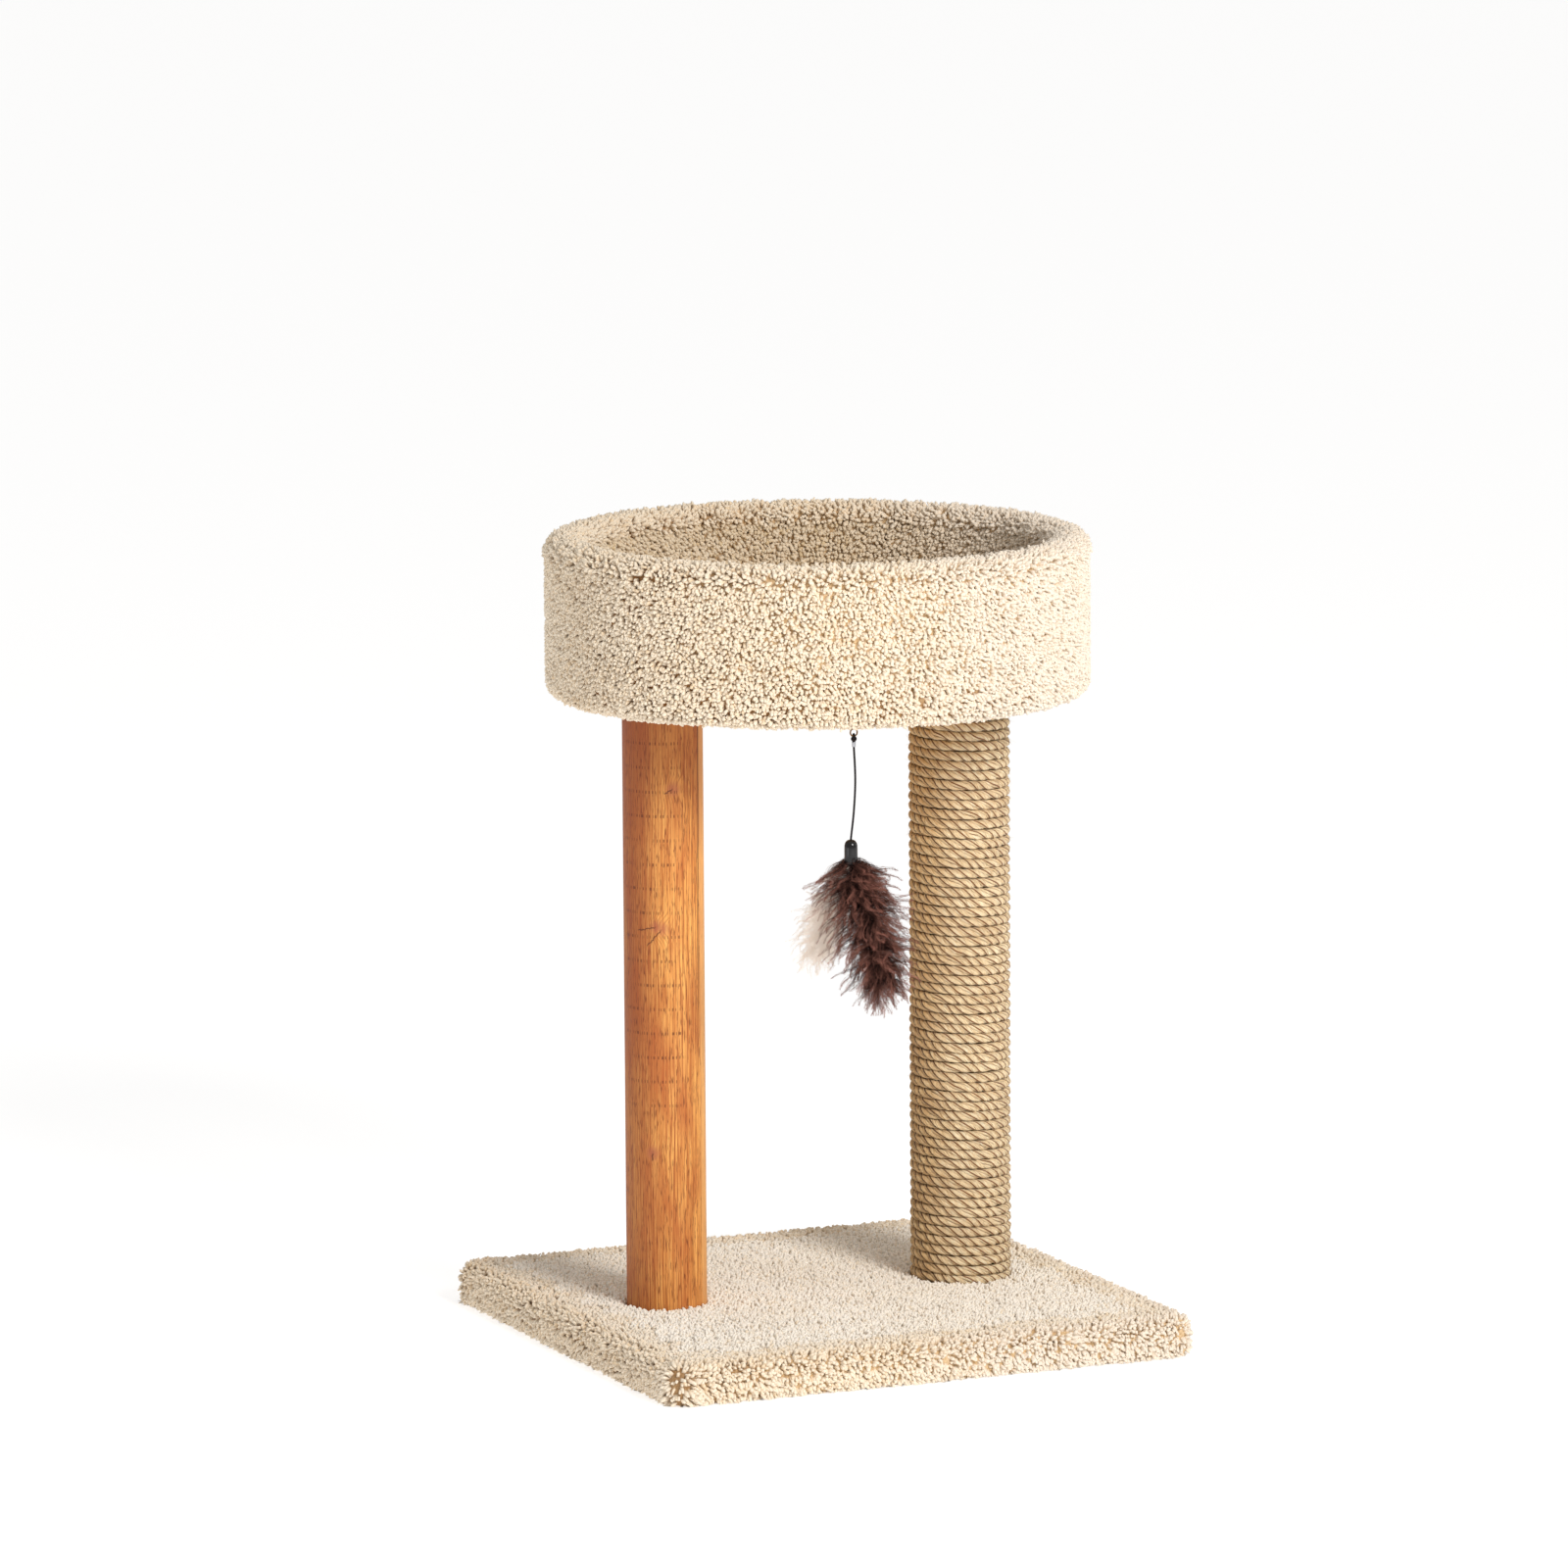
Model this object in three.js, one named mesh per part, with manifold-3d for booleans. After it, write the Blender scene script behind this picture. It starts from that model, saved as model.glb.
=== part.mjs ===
// Cat tree: a square carpeted base, a solid wood post, a sisal scratching post, a round carpeted
// bed and a feather toy that hangs from the bed on an elastic cord.
// Millimetres, +Z up. The origin is on the floor under the middle of the base. +X runs from the
// wood post to the sisal post, and -Y is the front, where the toy hangs.

import * as THREE from "three";
import { mergeVertices } from "three/addons/utils/BufferGeometryUtils.js";
import Module from "manifold-3d";

const wasm = await Module();
wasm.setup();

// ---------------------------------------------------------------- driving dimensions

const gap = 0.3; // clearance between pieces that touch
const bedSides = 44; // facets round the bed

const baseWidth = 535; // over the carpet, along X
const baseDepth = 542; // over the carpet, along Y
const baseHeight = 41.5; // floor to the top of the pile
const boardSize = 508; // square base board
const boardThickness = 19;
const hemThickness = 5.7; // carpet turned under the board
const hemWidth = 40;
const baseEdgeRadius = 12;
const baseCornerRadius = 16;

const postLength = 600;
const woodPostX = -160;
const woodPostRadius = 38.1;
const sisalPostX = 147;
const sisalPostRadius = 48.35; // over the rope

const ropeDiameter = 9.1;
const ropePitch = 9.4;
const tubeRadius = 36.8;
const tubeWall = 4;
const plugHeight = 40;

const bedFloorRadius = 235;
const bedFloorThickness = 16;
const hoopThickness = 6;
const hoopHeight = 127;
const bedOuterRadius = 257.4; // over the carpet
const bedInnerRadius = 219; // inside the carpet
const bedTop = 766.7;
const bedUnderside = 615.4;
const bedHemInnerRadius = 205;
const rimRadius = 18;
const floorPileHeight = 14;

const screwLength = 55;
const screwTipLength = 6;
const screwShankRadius = 2.4;
const screwHeadRadius = 4.8;
const screwHeadHeight = 3.2;
const screwHeadInset = 0.2; // below the face that it is driven into
const screwCircleRadius = 20; // three screws round each post's axis
const recessLength = 5; // the cross in each screw's head
const recessWidth = 1.1;
const recessDepth = 1.5;

const nailLength = 22;
const nailTipLength = 3;
const nailRadius = 1.2;
const nailHeadRadius = 2.6;
const nailHeadHeight = 0.9;

const stapleCrown = 12;
const stapleLeg = 16;
const stapleWire = 1.2;
const stapleInset = 0.6; // a crown's height above the underside of the carpet that it holds
const baseStapleOffset = 150; // two staples on each side, this far from its middle
const bedStapleCircleRadius = 222;
const bedStapleCount = 6;
const hoopNailCount = 8;

const toyX = -59;
const toyY = -215;
const eyeRadius = 3.5; // to the middle of the eye's wire
const eyeWireRadius = 0.8;
const eyeShankRadius = 1.3;
const eyeShankDepth = 11; // how far the shank goes into the bed's floor
const eyeDrop = 6.4; // eye centre below the bed's underside
const loopWireRadius = 0.6;
const knotRadius = 1.9;
const crimpRadius = 1.8;
const crimpLength = 4.6;
const cordRadius = 1;
const cordVisibleLength = 87;
const cordInCrimp = 3.6;
const cordInCap = 8;
const cordDrift = new THREE.Vector2(-2.9, 1.3); // how far the cord's lower end sits from its upper end
const cordBow = 1.2; // how far its middle stands out from a straight line
const capRadius = 6.4;
const capLength = 23.5;
const capWall = 1.3;
const quillInCap = 8;
const brownPlumeLength = 150;
const creamPlumeLength = 120;

// ---------------------------------------------------------------- levels worked out from them

const boardBottom = hemThickness + gap;
const boardTop = boardBottom + boardThickness;
const postBottom = boardTop + gap;
const postTop = postBottom + postLength;
const bedFloorBottom = postTop + gap;
const bedFloorTop = bedFloorBottom + bedFloorThickness;
const hoopInnerRadius = bedFloorRadius + gap;
const hoopOuterRadius = hoopInnerRadius + hoopThickness;
const hoopTop = bedFloorBottom + hoopHeight;
const ropeLineRadius = sisalPostRadius - ropeDiameter / 2;
const eyeZ = bedUnderside - eyeDrop;
const knotZ = eyeZ - eyeRadius - eyeWireRadius - knotRadius - gap;
const crimpTop = knotZ - knotRadius - gap;
const crimpBottom = crimpTop - crimpLength;
const capTop = crimpBottom - cordVisibleLength;

// ---------------------------------------------------------------- materials

function material(color, roughness, metalness = 0) {
  return new THREE.MeshStandardMaterial({ color, roughness, metalness });
}

const carpet = material(0xe7d5bb, 0.95);
const plywood = material(0xc9a876, 0.7);
const stainedWood = material(0xd4894c, 0.45);
const cardboard = material(0xb99b74, 0.9);
const sisal = material(0xccac83, 0.85);
const steel = material(0x9c9c9e, 0.35, 0.9);
const brass = material(0xb08a4a, 0.35, 0.9);
const blackCord = material(0x17171a, 0.7);
const blackPlastic = material(0x201d1f, 0.25);
const brownFeather = material(0x4d302a, 0.9);
const creamFeather = material(0xddcec0, 0.9);

// ---------------------------------------------------------------- geometry helpers

// A closed three.js geometry as a solid that can be joined and cut, with its faces pointing out.
function solidFrom(geometry) {
  const bare = geometry.index ? geometry.toNonIndexed() : geometry.clone();
  for (const name of Object.keys(bare.attributes)) {
    if (name !== "position") bare.deleteAttribute(name);
  }
  const merged = mergeVertices(bare, 1e-4);
  const index = merged.index.array;
  const corners = [];
  for (let i = 0; i < index.length; i += 3) {
    const [a, b, c] = index.slice(i, i + 3);
    if (a !== b && b !== c && c !== a) corners.push(a, b, c);
  }
  const vertProperties = merged.attributes.position.array;
  const build = () =>
    new wasm.Manifold(new wasm.Mesh({ numProp: 3, vertProperties, triVerts: new Uint32Array(corners) }));
  const made = build();
  if (made.volume() > 0) return made;
  corners.reverse(); // turns every triangle round
  return build();
}

function geometryFrom(solid) {
  const { vertProperties, triVerts } = solid.getMesh();
  const geometry = new THREE.BufferGeometry();
  geometry.setAttribute("position", new THREE.BufferAttribute(new Float32Array(vertProperties), 3));
  geometry.setIndex(new THREE.BufferAttribute(new Uint32Array(triVerts), 1));
  geometry.computeVertexNormals();
  return geometry;
}

function cut(solid, cutters) {
  return cutters.reduce((left, cutter) => left.subtract(cutter), solid);
}

// A named mesh of a solid, or of a closed geometry, added to a group at a place in it.
function addPiece(group, name, shape, finish, place = [0, 0, 0], turn = [0, 0, 0]) {
  const solid = shape.isBufferGeometry ? solidFrom(shape) : shape;
  const mesh = new THREE.Mesh(geometryFrom(solid), finish);
  mesh.name = name;
  mesh.position.set(...place);
  mesh.rotation.set(...turn);
  group.add(mesh);
  return mesh;
}

function moved(geometry, place, turn = [0, 0, 0]) {
  const matrix = new THREE.Matrix4().makeRotationFromEuler(new THREE.Euler(...turn));
  return geometry.clone().applyMatrix4(matrix.setPosition(...place));
}

// An upright cylinder that stands on z = 0.
function uprightCylinder(radius, height, sides = 32) {
  const cylinder = new THREE.CylinderGeometry(radius, radius, height, sides);
  return cylinder.rotateX(Math.PI / 2).translate(0, 0, height / 2);
}

// A shape turned round the Z axis from a profile of [radius, height] points.
function turned(profile, sides = bedSides) {
  const points = profile.map(([radius, height]) => new THREE.Vector2(radius, height));
  return new THREE.LatheGeometry(points, sides).rotateX(Math.PI / 2);
}

function arc(centreR, centreZ, radius, fromDegrees, toDegrees, steps) {
  return Array.from({ length: steps + 1 }, (_, i) => {
    const angle = THREE.MathUtils.degToRad(fromDegrees + ((toDegrees - fromDegrees) * i) / steps);
    return [centreR + radius * Math.cos(angle), centreZ + radius * Math.sin(angle)];
  });
}

function polar(radius, degrees) {
  const angle = THREE.MathUtils.degToRad(degrees);
  return [radius * Math.cos(angle), radius * Math.sin(angle)];
}

function roundedRectangle(width, depth, radius) {
  const [x, y] = [width / 2, depth / 2];
  const shape = new THREE.Shape();
  shape.moveTo(-x + radius, -y);
  shape.lineTo(x - radius, -y);
  shape.absarc(x - radius, -y + radius, radius, -Math.PI / 2, 0);
  shape.lineTo(x, y - radius);
  shape.absarc(x - radius, y - radius, radius, 0, Math.PI / 2);
  shape.lineTo(-x + radius, y);
  shape.absarc(-x + radius, y - radius, radius, Math.PI / 2, Math.PI);
  shape.lineTo(-x, -y + radius);
  shape.absarc(-x + radius, -y + radius, radius, Math.PI, 1.5 * Math.PI);
  return shape;
}

// ---------------------------------------------------------------- fasteners

// A countersunk wood screw, head face at z = 0 and point up. With grow it is the hole for one.
function screwBody(grow = 0) {
  const shank = screwShankRadius + grow;
  const head = screwHeadRadius + grow;
  const opened = grow ? -1 : 0; // the hole runs past the surface that it starts from
  const tip = screwLength + grow;
  const profile = [[0, opened], [head, opened], [head, grow], [shank, screwHeadHeight + grow]];
  return turned([...profile, [shank, tip - screwTipLength], [0, tip]], 10);
}

function screwWithCrossRecess() {
  const slot = new THREE.BoxGeometry(recessLength, recessWidth, 2 * recessDepth);
  const slots = [slot, slot.clone().rotateZ(Math.PI / 2)].map(solidFrom);
  return cut(solidFrom(screwBody()), slots);
}

// A flat-headed nail along -X that starts at x = 0. With grow it is the hole for one.
function nailBody(grow = 0) {
  const opened = grow ? -2 : 0;
  const head = nailHeadRadius + grow;
  const shank = nailRadius + grow;
  const under = nailHeadHeight + grow;
  const tip = nailLength + grow;
  const profile = [[0, opened], [head, opened], [head, under], [shank, under]];
  return turned([...profile, [shank, tip - nailTipLength], [0, tip]], 6).rotateY(-Math.PI / 2);
}

// A carpet staple with its crown along X at z = 0 and its legs up. With grow it is the hole for one.
function stapleBody(grow = 0) {
  const outer = stapleCrown / 2 + grow;
  const inner = stapleCrown / 2 - stapleWire - grow;
  const below = grow ? -3 : 0;
  const crownTop = stapleWire + grow;
  const tip = stapleLeg + grow;
  const shape = new THREE.Shape();
  shape.moveTo(-outer, below);
  shape.lineTo(outer, below);
  shape.lineTo(outer, tip);
  shape.lineTo(inner, tip);
  shape.lineTo(inner, crownTop);
  shape.lineTo(-inner, crownTop);
  shape.lineTo(-inner, tip);
  shape.lineTo(-outer, tip);
  const width = stapleWire + 2 * grow;
  const upright = new THREE.ExtrudeGeometry(shape, { depth: width, bevelEnabled: false });
  return upright.translate(0, 0, -width / 2).rotateX(Math.PI / 2);
}

const screwPlaces = [90, 210, 330].map((degrees) => polar(screwCircleRadius, degrees));

// Holes for the three screws of one post end, in the post's own frame.
function screwHoles(x, headZ, pointsUp) {
  const turn = pointsUp ? [0, 0, 0] : [Math.PI, 0, 0];
  return screwPlaces.map(([dx, dy]) => solidFrom(moved(screwBody(gap), [x + dx, dy, headZ], turn)));
}

// ---------------------------------------------------------------- base

const root = new THREE.Group();

const base = new THREE.Group();
root.add(base);

const baseScrewHeadZ = boardBottom + screwHeadInset;
const baseStapleReach = boardSize / 2 - hemWidth / 2;
const baseStaplePlaces = [0, 90, 180, 270].flatMap((degrees) =>
  [-baseStapleOffset, baseStapleOffset].map((along) => {
    const turn = THREE.MathUtils.degToRad(degrees);
    const place = new THREE.Vector3(along, -baseStapleReach, stapleInset);
    place.applyAxisAngle(new THREE.Vector3(0, 0, 1), turn);
    return { place: place.toArray(), turn: [0, 0, turn] };
  }),
);
const baseStapleHoles = baseStaplePlaces.map(({ place, turn }) =>
  solidFrom(moved(stapleBody(gap), place, turn)),
);

function makeBaseBoard() {
  const board = new THREE.BoxGeometry(boardSize, boardSize, boardThickness);
  const solid = solidFrom(board.translate(0, 0, boardBottom + boardThickness / 2));
  const holes = [woodPostX, sisalPostX].flatMap((x) => screwHoles(x, baseScrewHeadZ, true));
  return cut(solid, [...holes, ...baseStapleHoles]);
}

function makeBaseCarpet() {
  const core = roundedRectangle(
    baseWidth - 2 * baseEdgeRadius,
    baseDepth - 2 * baseEdgeRadius,
    baseCornerRadius,
  );
  const wrap = new THREE.ExtrudeGeometry(core, {
    depth: baseHeight - 2 * baseEdgeRadius,
    curveSegments: 3,
    bevelThickness: baseEdgeRadius,
    bevelSize: baseEdgeRadius,
    bevelSegments: 3,
  }).translate(0, 0, baseEdgeRadius);
  const cavityHeight = boardThickness + 2 * gap;
  const cavity = new THREE.BoxGeometry(boardSize + 2 * gap, boardSize + 2 * gap, cavityHeight);
  const windowSize = boardSize - 2 * hemWidth;
  const window = new THREE.BoxGeometry(windowSize, windowSize, 2 * boardBottom + 2);
  const postHoles = [
    uprightCylinder(woodPostRadius + gap, baseHeight).translate(woodPostX, 0, boardBottom + 1),
    uprightCylinder(sisalPostRadius + gap, baseHeight).translate(sisalPostX, 0, boardBottom + 1),
  ];
  const cutters = [cavity.translate(0, 0, hemThickness + cavityHeight / 2), window, ...postHoles];
  return cut(solidFrom(wrap), [...cutters.map(solidFrom), ...baseStapleHoles]);
}

addPiece(base, "base_board", makeBaseBoard(), plywood);
addPiece(base, "base_carpet", makeBaseCarpet(), carpet);
baseStaplePlaces.forEach(({ place, turn }, i) => {
  addPiece(base, `base_staple_${i + 1}`, stapleBody(), steel, place, turn);
});
[woodPostX, sisalPostX].forEach((x, post) => {
  screwPlaces.forEach(([dx, dy], i) => {
    const name = `base_screw_${post * screwPlaces.length + i + 1}`;
    addPiece(base, name, screwWithCrossRecess(), steel, [x + dx, dy, baseScrewHeadZ]);
  });
});

// ---------------------------------------------------------------- posts

const bedScrewHeadZ = bedFloorTop - screwHeadInset;

// Pilot holes for the screws that come up from the base and down from the bed, in a post's frame.
function postScrewHoles() {
  return [
    ...screwHoles(0, baseScrewHeadZ - postBottom, true),
    ...screwHoles(0, bedScrewHeadZ - postBottom, false),
  ];
}

const woodPost = new THREE.Group();
woodPost.position.set(woodPostX, 0, postBottom);
root.add(woodPost);
const woodBody = solidFrom(uprightCylinder(woodPostRadius, postLength, 48));
addPiece(woodPost, "wood_post", cut(woodBody, postScrewHoles()), stainedWood);

const sisalPost = new THREE.Group();
sisalPost.position.set(sisalPostX, 0, postBottom);
root.add(sisalPost);

const plugRadius = tubeRadius - tubeWall - gap;
const tubeNailPlaces = [plugHeight / 2, postLength - plugHeight / 2].flatMap((z) =>
  [60, 240].map((degrees) => ({
    place: [...polar(tubeRadius - gap, degrees), z],
    turn: [0, 0, THREE.MathUtils.degToRad(degrees)],
  })),
);
const tubeNailHoles = tubeNailPlaces.map(({ place, turn }) => solidFrom(moved(nailBody(gap), place, turn)));

// The rope climbs clockwise, seen from above, in turns that lie against each other.
class RopeHelix extends THREE.Curve {
  constructor(radius, pitch, turns) {
    super();
    this.radius = radius;
    this.pitch = pitch;
    this.turns = turns;
  }
  getPoint(t, target = new THREE.Vector3()) {
    const angle = -2 * Math.PI * this.turns * t;
    return target.set(
      this.radius * Math.cos(angle),
      this.radius * Math.sin(angle),
      this.pitch * this.turns * t,
    );
  }
}

const stepsPerTurn = 10;
const ropeTurns = Math.floor(((postLength - ropeDiameter) / ropePitch) * stepsPerTurn) / stepsPerTurn;
const ropeStartZ = (postLength - ropeTurns * ropePitch) / 2;

// A circle of straight sides as a shape to extrude.
function polygon(radius, sides) {
  const points = Array.from({ length: sides }, (_, i) => {
    const [x, y] = polar(radius, (360 * i) / sides);
    return new THREE.Vector2(x, y);
  });
  return new THREE.Shape(points);
}

// Each rope end is held by a staple that straddles the rope's axis. Its crown lies along the turn.
const ropeStaplePlaces = [
  { name: "rope_staple_bottom", z: ropeStartZ + ropePitch * 0.25, degrees: -90 },
  { name: "rope_staple_top", z: postLength - ropeStartZ - ropePitch * 0.25, degrees: 90 - 360 * ropeTurns },
].map(({ name, z, degrees }) => {
  const crownInset = 2.6;
  const place = [...polar(sisalPostRadius - crownInset, degrees), z];
  return { name, place, turn: [Math.PI / 2, 0, THREE.MathUtils.degToRad(degrees - 90), "ZYX"] };
});
const ropeStapleHoles = ropeStaplePlaces.map(({ place, turn }) =>
  solidFrom(moved(stapleBody(gap), place, turn)),
);

function makeSisalRope() {
  const helix = new RopeHelix(ropeLineRadius, ropePitch, ropeTurns);
  const rope = new THREE.ExtrudeGeometry(polygon(ropeDiameter / 2, 5), {
    extrudePath: helix,
    steps: Math.round(ropeTurns * stepsPerTurn),
  });
  return cut(solidFrom(rope.translate(0, 0, ropeStartZ)), ropeStapleHoles);
}

function makeCoreTube() {
  const inner = tubeRadius - tubeWall;
  const wall = [[inner, 0], [tubeRadius, 0], [tubeRadius, postLength], [inner, postLength], [inner, 0]];
  return cut(solidFrom(turned(wall, 32)), [...tubeNailHoles, ...ropeStapleHoles]);
}

function makePlug(bottom) {
  const plug = solidFrom(uprightCylinder(plugRadius, plugHeight, 28).translate(0, 0, bottom));
  return cut(plug, [...postScrewHoles(), ...tubeNailHoles, ...ropeStapleHoles]);
}

addPiece(sisalPost, "core_tube", makeCoreTube(), cardboard);
addPiece(sisalPost, "plug_bottom", makePlug(0), plywood);
addPiece(sisalPost, "plug_top", makePlug(postLength - plugHeight), plywood);
addPiece(sisalPost, "sisal_rope", makeSisalRope(), sisal);
tubeNailPlaces.forEach(({ place, turn }, i) => {
  addPiece(sisalPost, `tube_nail_${i + 1}`, nailBody(), steel, place, turn);
});
ropeStaplePlaces.forEach(({ name, place, turn }) => {
  addPiece(sisalPost, name, stapleBody(), steel, place, turn);
});

// ---------------------------------------------------------------- bed

const bed = new THREE.Group();
bed.position.z = bedFloorBottom;
root.add(bed);

const underZ = bedUnderside - bedFloorBottom; // the bed's underside in the bed's own frame
const rimZ = bedTop - bedFloorBottom;

// Angles in degrees of count places round the bed, the first one half a step from +X.
function anglesRound(count) {
  return Array.from({ length: count }, (_, i) => ((i + 0.5) * 360) / count);
}

const bedStaplePlaces = anglesRound(bedStapleCount).map((degrees) => ({
  place: [...polar(bedStapleCircleRadius, degrees), underZ + stapleInset],
  turn: [0, 0, THREE.MathUtils.degToRad(degrees + 90)],
}));
const bedStapleHoles = bedStaplePlaces.map(({ place, turn }) =>
  solidFrom(moved(stapleBody(gap), place, turn)),
);
const hoopNailPlaces = anglesRound(hoopNailCount).map((degrees) => ({
  place: [...polar(hoopOuterRadius - gap, degrees), bedFloorThickness / 2],
  turn: [0, 0, THREE.MathUtils.degToRad(degrees)],
}));
const hoopNailHoles = hoopNailPlaces.map(({ place, turn }) => solidFrom(moved(nailBody(gap), place, turn)));

const eyeHoleBottom = underZ - 2;
const eyeHole = solidFrom(
  uprightCylinder(eyeShankRadius + gap, eyeShankDepth + gap - eyeHoleBottom, 8)
    .translate(toyX, toyY, eyeHoleBottom),
);

function makeBedFloor() {
  const disc = solidFrom(uprightCylinder(bedFloorRadius, bedFloorThickness, bedSides));
  const headLevel = bedFloorThickness - screwHeadInset;
  const holes = [woodPostX, sisalPostX].flatMap((x) => screwHoles(x, headLevel, false));
  return cut(disc, [...holes, ...bedStapleHoles, ...hoopNailHoles, eyeHole]);
}

function makeHoop() {
  const [inner, outer] = [hoopInnerRadius, hoopOuterRadius];
  const wall = [[inner, 0], [outer, 0], [outer, hoopHeight], [inner, hoopHeight], [inner, 0]];
  return cut(solidFrom(turned(wall)), hoopNailHoles);
}

// One strip: turned under the floor, up the outside of the hoop, over its rim and down inside.
function makeWallCarpet() {
  const lowRadius = 9;
  const profile = [
    [bedHemInnerRadius, -gap],
    [bedHemInnerRadius, underZ],
    ...arc(bedOuterRadius - lowRadius, underZ + lowRadius, lowRadius, -90, 0, 2),
    ...arc(bedOuterRadius - rimRadius, rimZ - rimRadius, rimRadius, 0, 90, 3),
    ...arc(bedInnerRadius + rimRadius, rimZ - rimRadius, rimRadius, 90, 180, 3),
    [bedInnerRadius, bedFloorThickness + gap],
    [hoopInnerRadius - gap, bedFloorThickness + gap],
    [hoopInnerRadius - gap, hoopHeight + gap],
    [hoopOuterRadius + gap, hoopHeight + gap],
    [hoopOuterRadius + gap, -gap],
    [bedHemInnerRadius, -gap],
  ];
  return cut(solidFrom(turned(profile)), [...bedStapleHoles, eyeHole]);
}

function makeFloorCarpet() {
  const radius = bedInnerRadius - gap;
  const edge = 5;
  const profile = [
    [0, 0],
    [radius, 0],
    ...arc(radius - edge, floorPileHeight - edge, edge, 0, 90, 2),
    [0, floorPileHeight],
  ];
  return turned(profile);
}

addPiece(bed, "bed_floor", makeBedFloor(), plywood);
addPiece(bed, "bed_hoop", makeHoop(), plywood);
addPiece(bed, "bed_wall_carpet", makeWallCarpet(), carpet);
addPiece(bed, "bed_floor_carpet", makeFloorCarpet(), carpet, [0, 0, bedFloorThickness + gap]);
[woodPostX, sisalPostX].forEach((x, post) => {
  screwPlaces.forEach(([dx, dy], i) => {
    const name = `bed_screw_${post * screwPlaces.length + i + 1}`;
    const place = [x + dx, dy, bedFloorThickness - screwHeadInset];
    addPiece(bed, name, screwWithCrossRecess(), steel, place, [Math.PI, 0, 0]);
  });
});
hoopNailPlaces.forEach(({ place, turn }, i) => {
  addPiece(bed, `hoop_nail_${i + 1}`, nailBody(), steel, place, turn);
});
bedStaplePlaces.forEach(({ place, turn }, i) => {
  addPiece(bed, `bed_staple_${i + 1}`, stapleBody(), steel, place, turn);
});

// ---------------------------------------------------------------- toy

const toy = new THREE.Group();
toy.position.set(toyX, toyY, 0);
root.add(toy);

// A ring in the XZ plane on a screw shank that goes up into the bed's floor.
function makeScrewEye() {
  const wire = arc(eyeRadius, 0, eyeWireRadius, 0, 360, 6);
  const ring = turned(wire, 16).rotateX(Math.PI / 2);
  const shankLength = bedFloorBottom + eyeShankDepth - (eyeZ + eyeRadius);
  const shank = uprightCylinder(eyeShankRadius, shankLength, 8).translate(0, 0, eyeRadius);
  return solidFrom(ring).add(solidFrom(shank));
}

// A loop of thin cord in the YZ plane that goes round the eye's wire, above a round knot.
class CordLoop extends THREE.Curve {
  constructor(width, height) {
    super();
    this.width = width;
    this.height = height;
  }
  getPoint(t, target = new THREE.Vector3()) {
    const angle = 2 * Math.PI * t;
    return target.set(0, this.width * Math.sin(angle), this.height * Math.cos(angle));
  }
}

function makeCordLoop() {
  const halfWidth = eyeWireRadius + loopWireRadius + 2 * gap;
  const top = eyeZ - eyeRadius + halfWidth - knotZ;
  const bottom = -0.5;
  const strands = 16;
  const path = new CordLoop(halfWidth, (top - bottom) / 2);
  const points = Array.from({ length: strands + 1 }, (_, i) => path.getPoint(0.5 + i / strands));
  const line = new THREE.CatmullRomCurve3(points);
  const loop = new THREE.ExtrudeGeometry(polygon(loopWireRadius, 6), { extrudePath: line, steps: strands });
  const knot = new THREE.SphereGeometry(knotRadius, 10, 6);
  return solidFrom(loop.translate(0, 0, (top + bottom) / 2)).add(solidFrom(knot));
}

function makeCrimp() {
  const bore = cordRadius + gap;
  const wall = [[bore, 0], [crimpRadius, 0], [crimpRadius, crimpLength], [bore, crimpLength], [bore, 0]];
  return turned(wall, 12);
}

// The cord's line in the toy's frame: it starts in the crimp and ends in the cap.
const cordTop = crimpBottom + cordInCrimp;
const cordBottom = capTop - cordInCap;

function cordLine() {
  const { x, y } = cordDrift;
  const reach = cordTop - cordBottom;
  return new THREE.CatmullRomCurve3([
    new THREE.Vector3(0, 0, cordTop),
    new THREE.Vector3(0, 0, crimpBottom),
    new THREE.Vector3(cordBow * 0.9, -cordBow * 0.4, cordTop - reach * 0.35),
    new THREE.Vector3(x * 0.5 + cordBow, y * 0.5 - cordBow * 0.4, cordTop - reach * 0.65),
    new THREE.Vector3(x, y, capTop),
    new THREE.Vector3(x, y, cordBottom),
  ]);
}

function makeElasticCord() {
  const section = polygon(cordRadius, 8);
  return new THREE.ExtrudeGeometry(section, { extrudePath: cordLine(), steps: 18 });
}

// A round-topped cup with its mouth down and a hole in its crown for the cord.
function makeCap() {
  const bore = cordRadius + gap;
  const inner = capRadius - capWall;
  const shoulder = capRadius - bore;
  const crown = cordInCap + 2;
  const profile = [
    [bore, 0],
    ...arc(bore, -shoulder, shoulder, 90, 0, 4).slice(1),
    [capRadius, -capLength],
    [inner, -capLength],
    [inner, -crown],
    [bore, -crown],
    [bore, 0],
  ];
  return turned(profile, 16);
}

// A plume hanging down from z = 0: thin fins of barbs that stand out from a tapering quill.
function makePlume(length, quillLength, fins) {
  const quill = new THREE.CylinderGeometry(1, 0.5, length, 6).rotateX(Math.PI / 2);
  let plume = solidFrom(quill.translate(0, 0, -length / 2));
  for (const { degrees, reach } of fins) {
    const vane = new THREE.Shape();
    vane.moveTo(0, -quillLength);
    vane.bezierCurveTo(reach * 1.1, -quillLength, reach * 1.3, -length * 0.85, 0, -length + 1);
    const sheet = new THREE.ExtrudeGeometry(vane, { depth: 1, bevelEnabled: false, curveSegments: 6 });
    const upright = sheet.translate(0, 0, -0.5).rotateX(Math.PI / 2);
    upright.rotateZ(THREE.MathUtils.degToRad(degrees));
    plume = plume.add(solidFrom(upright));
  }
  return plume;
}

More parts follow.
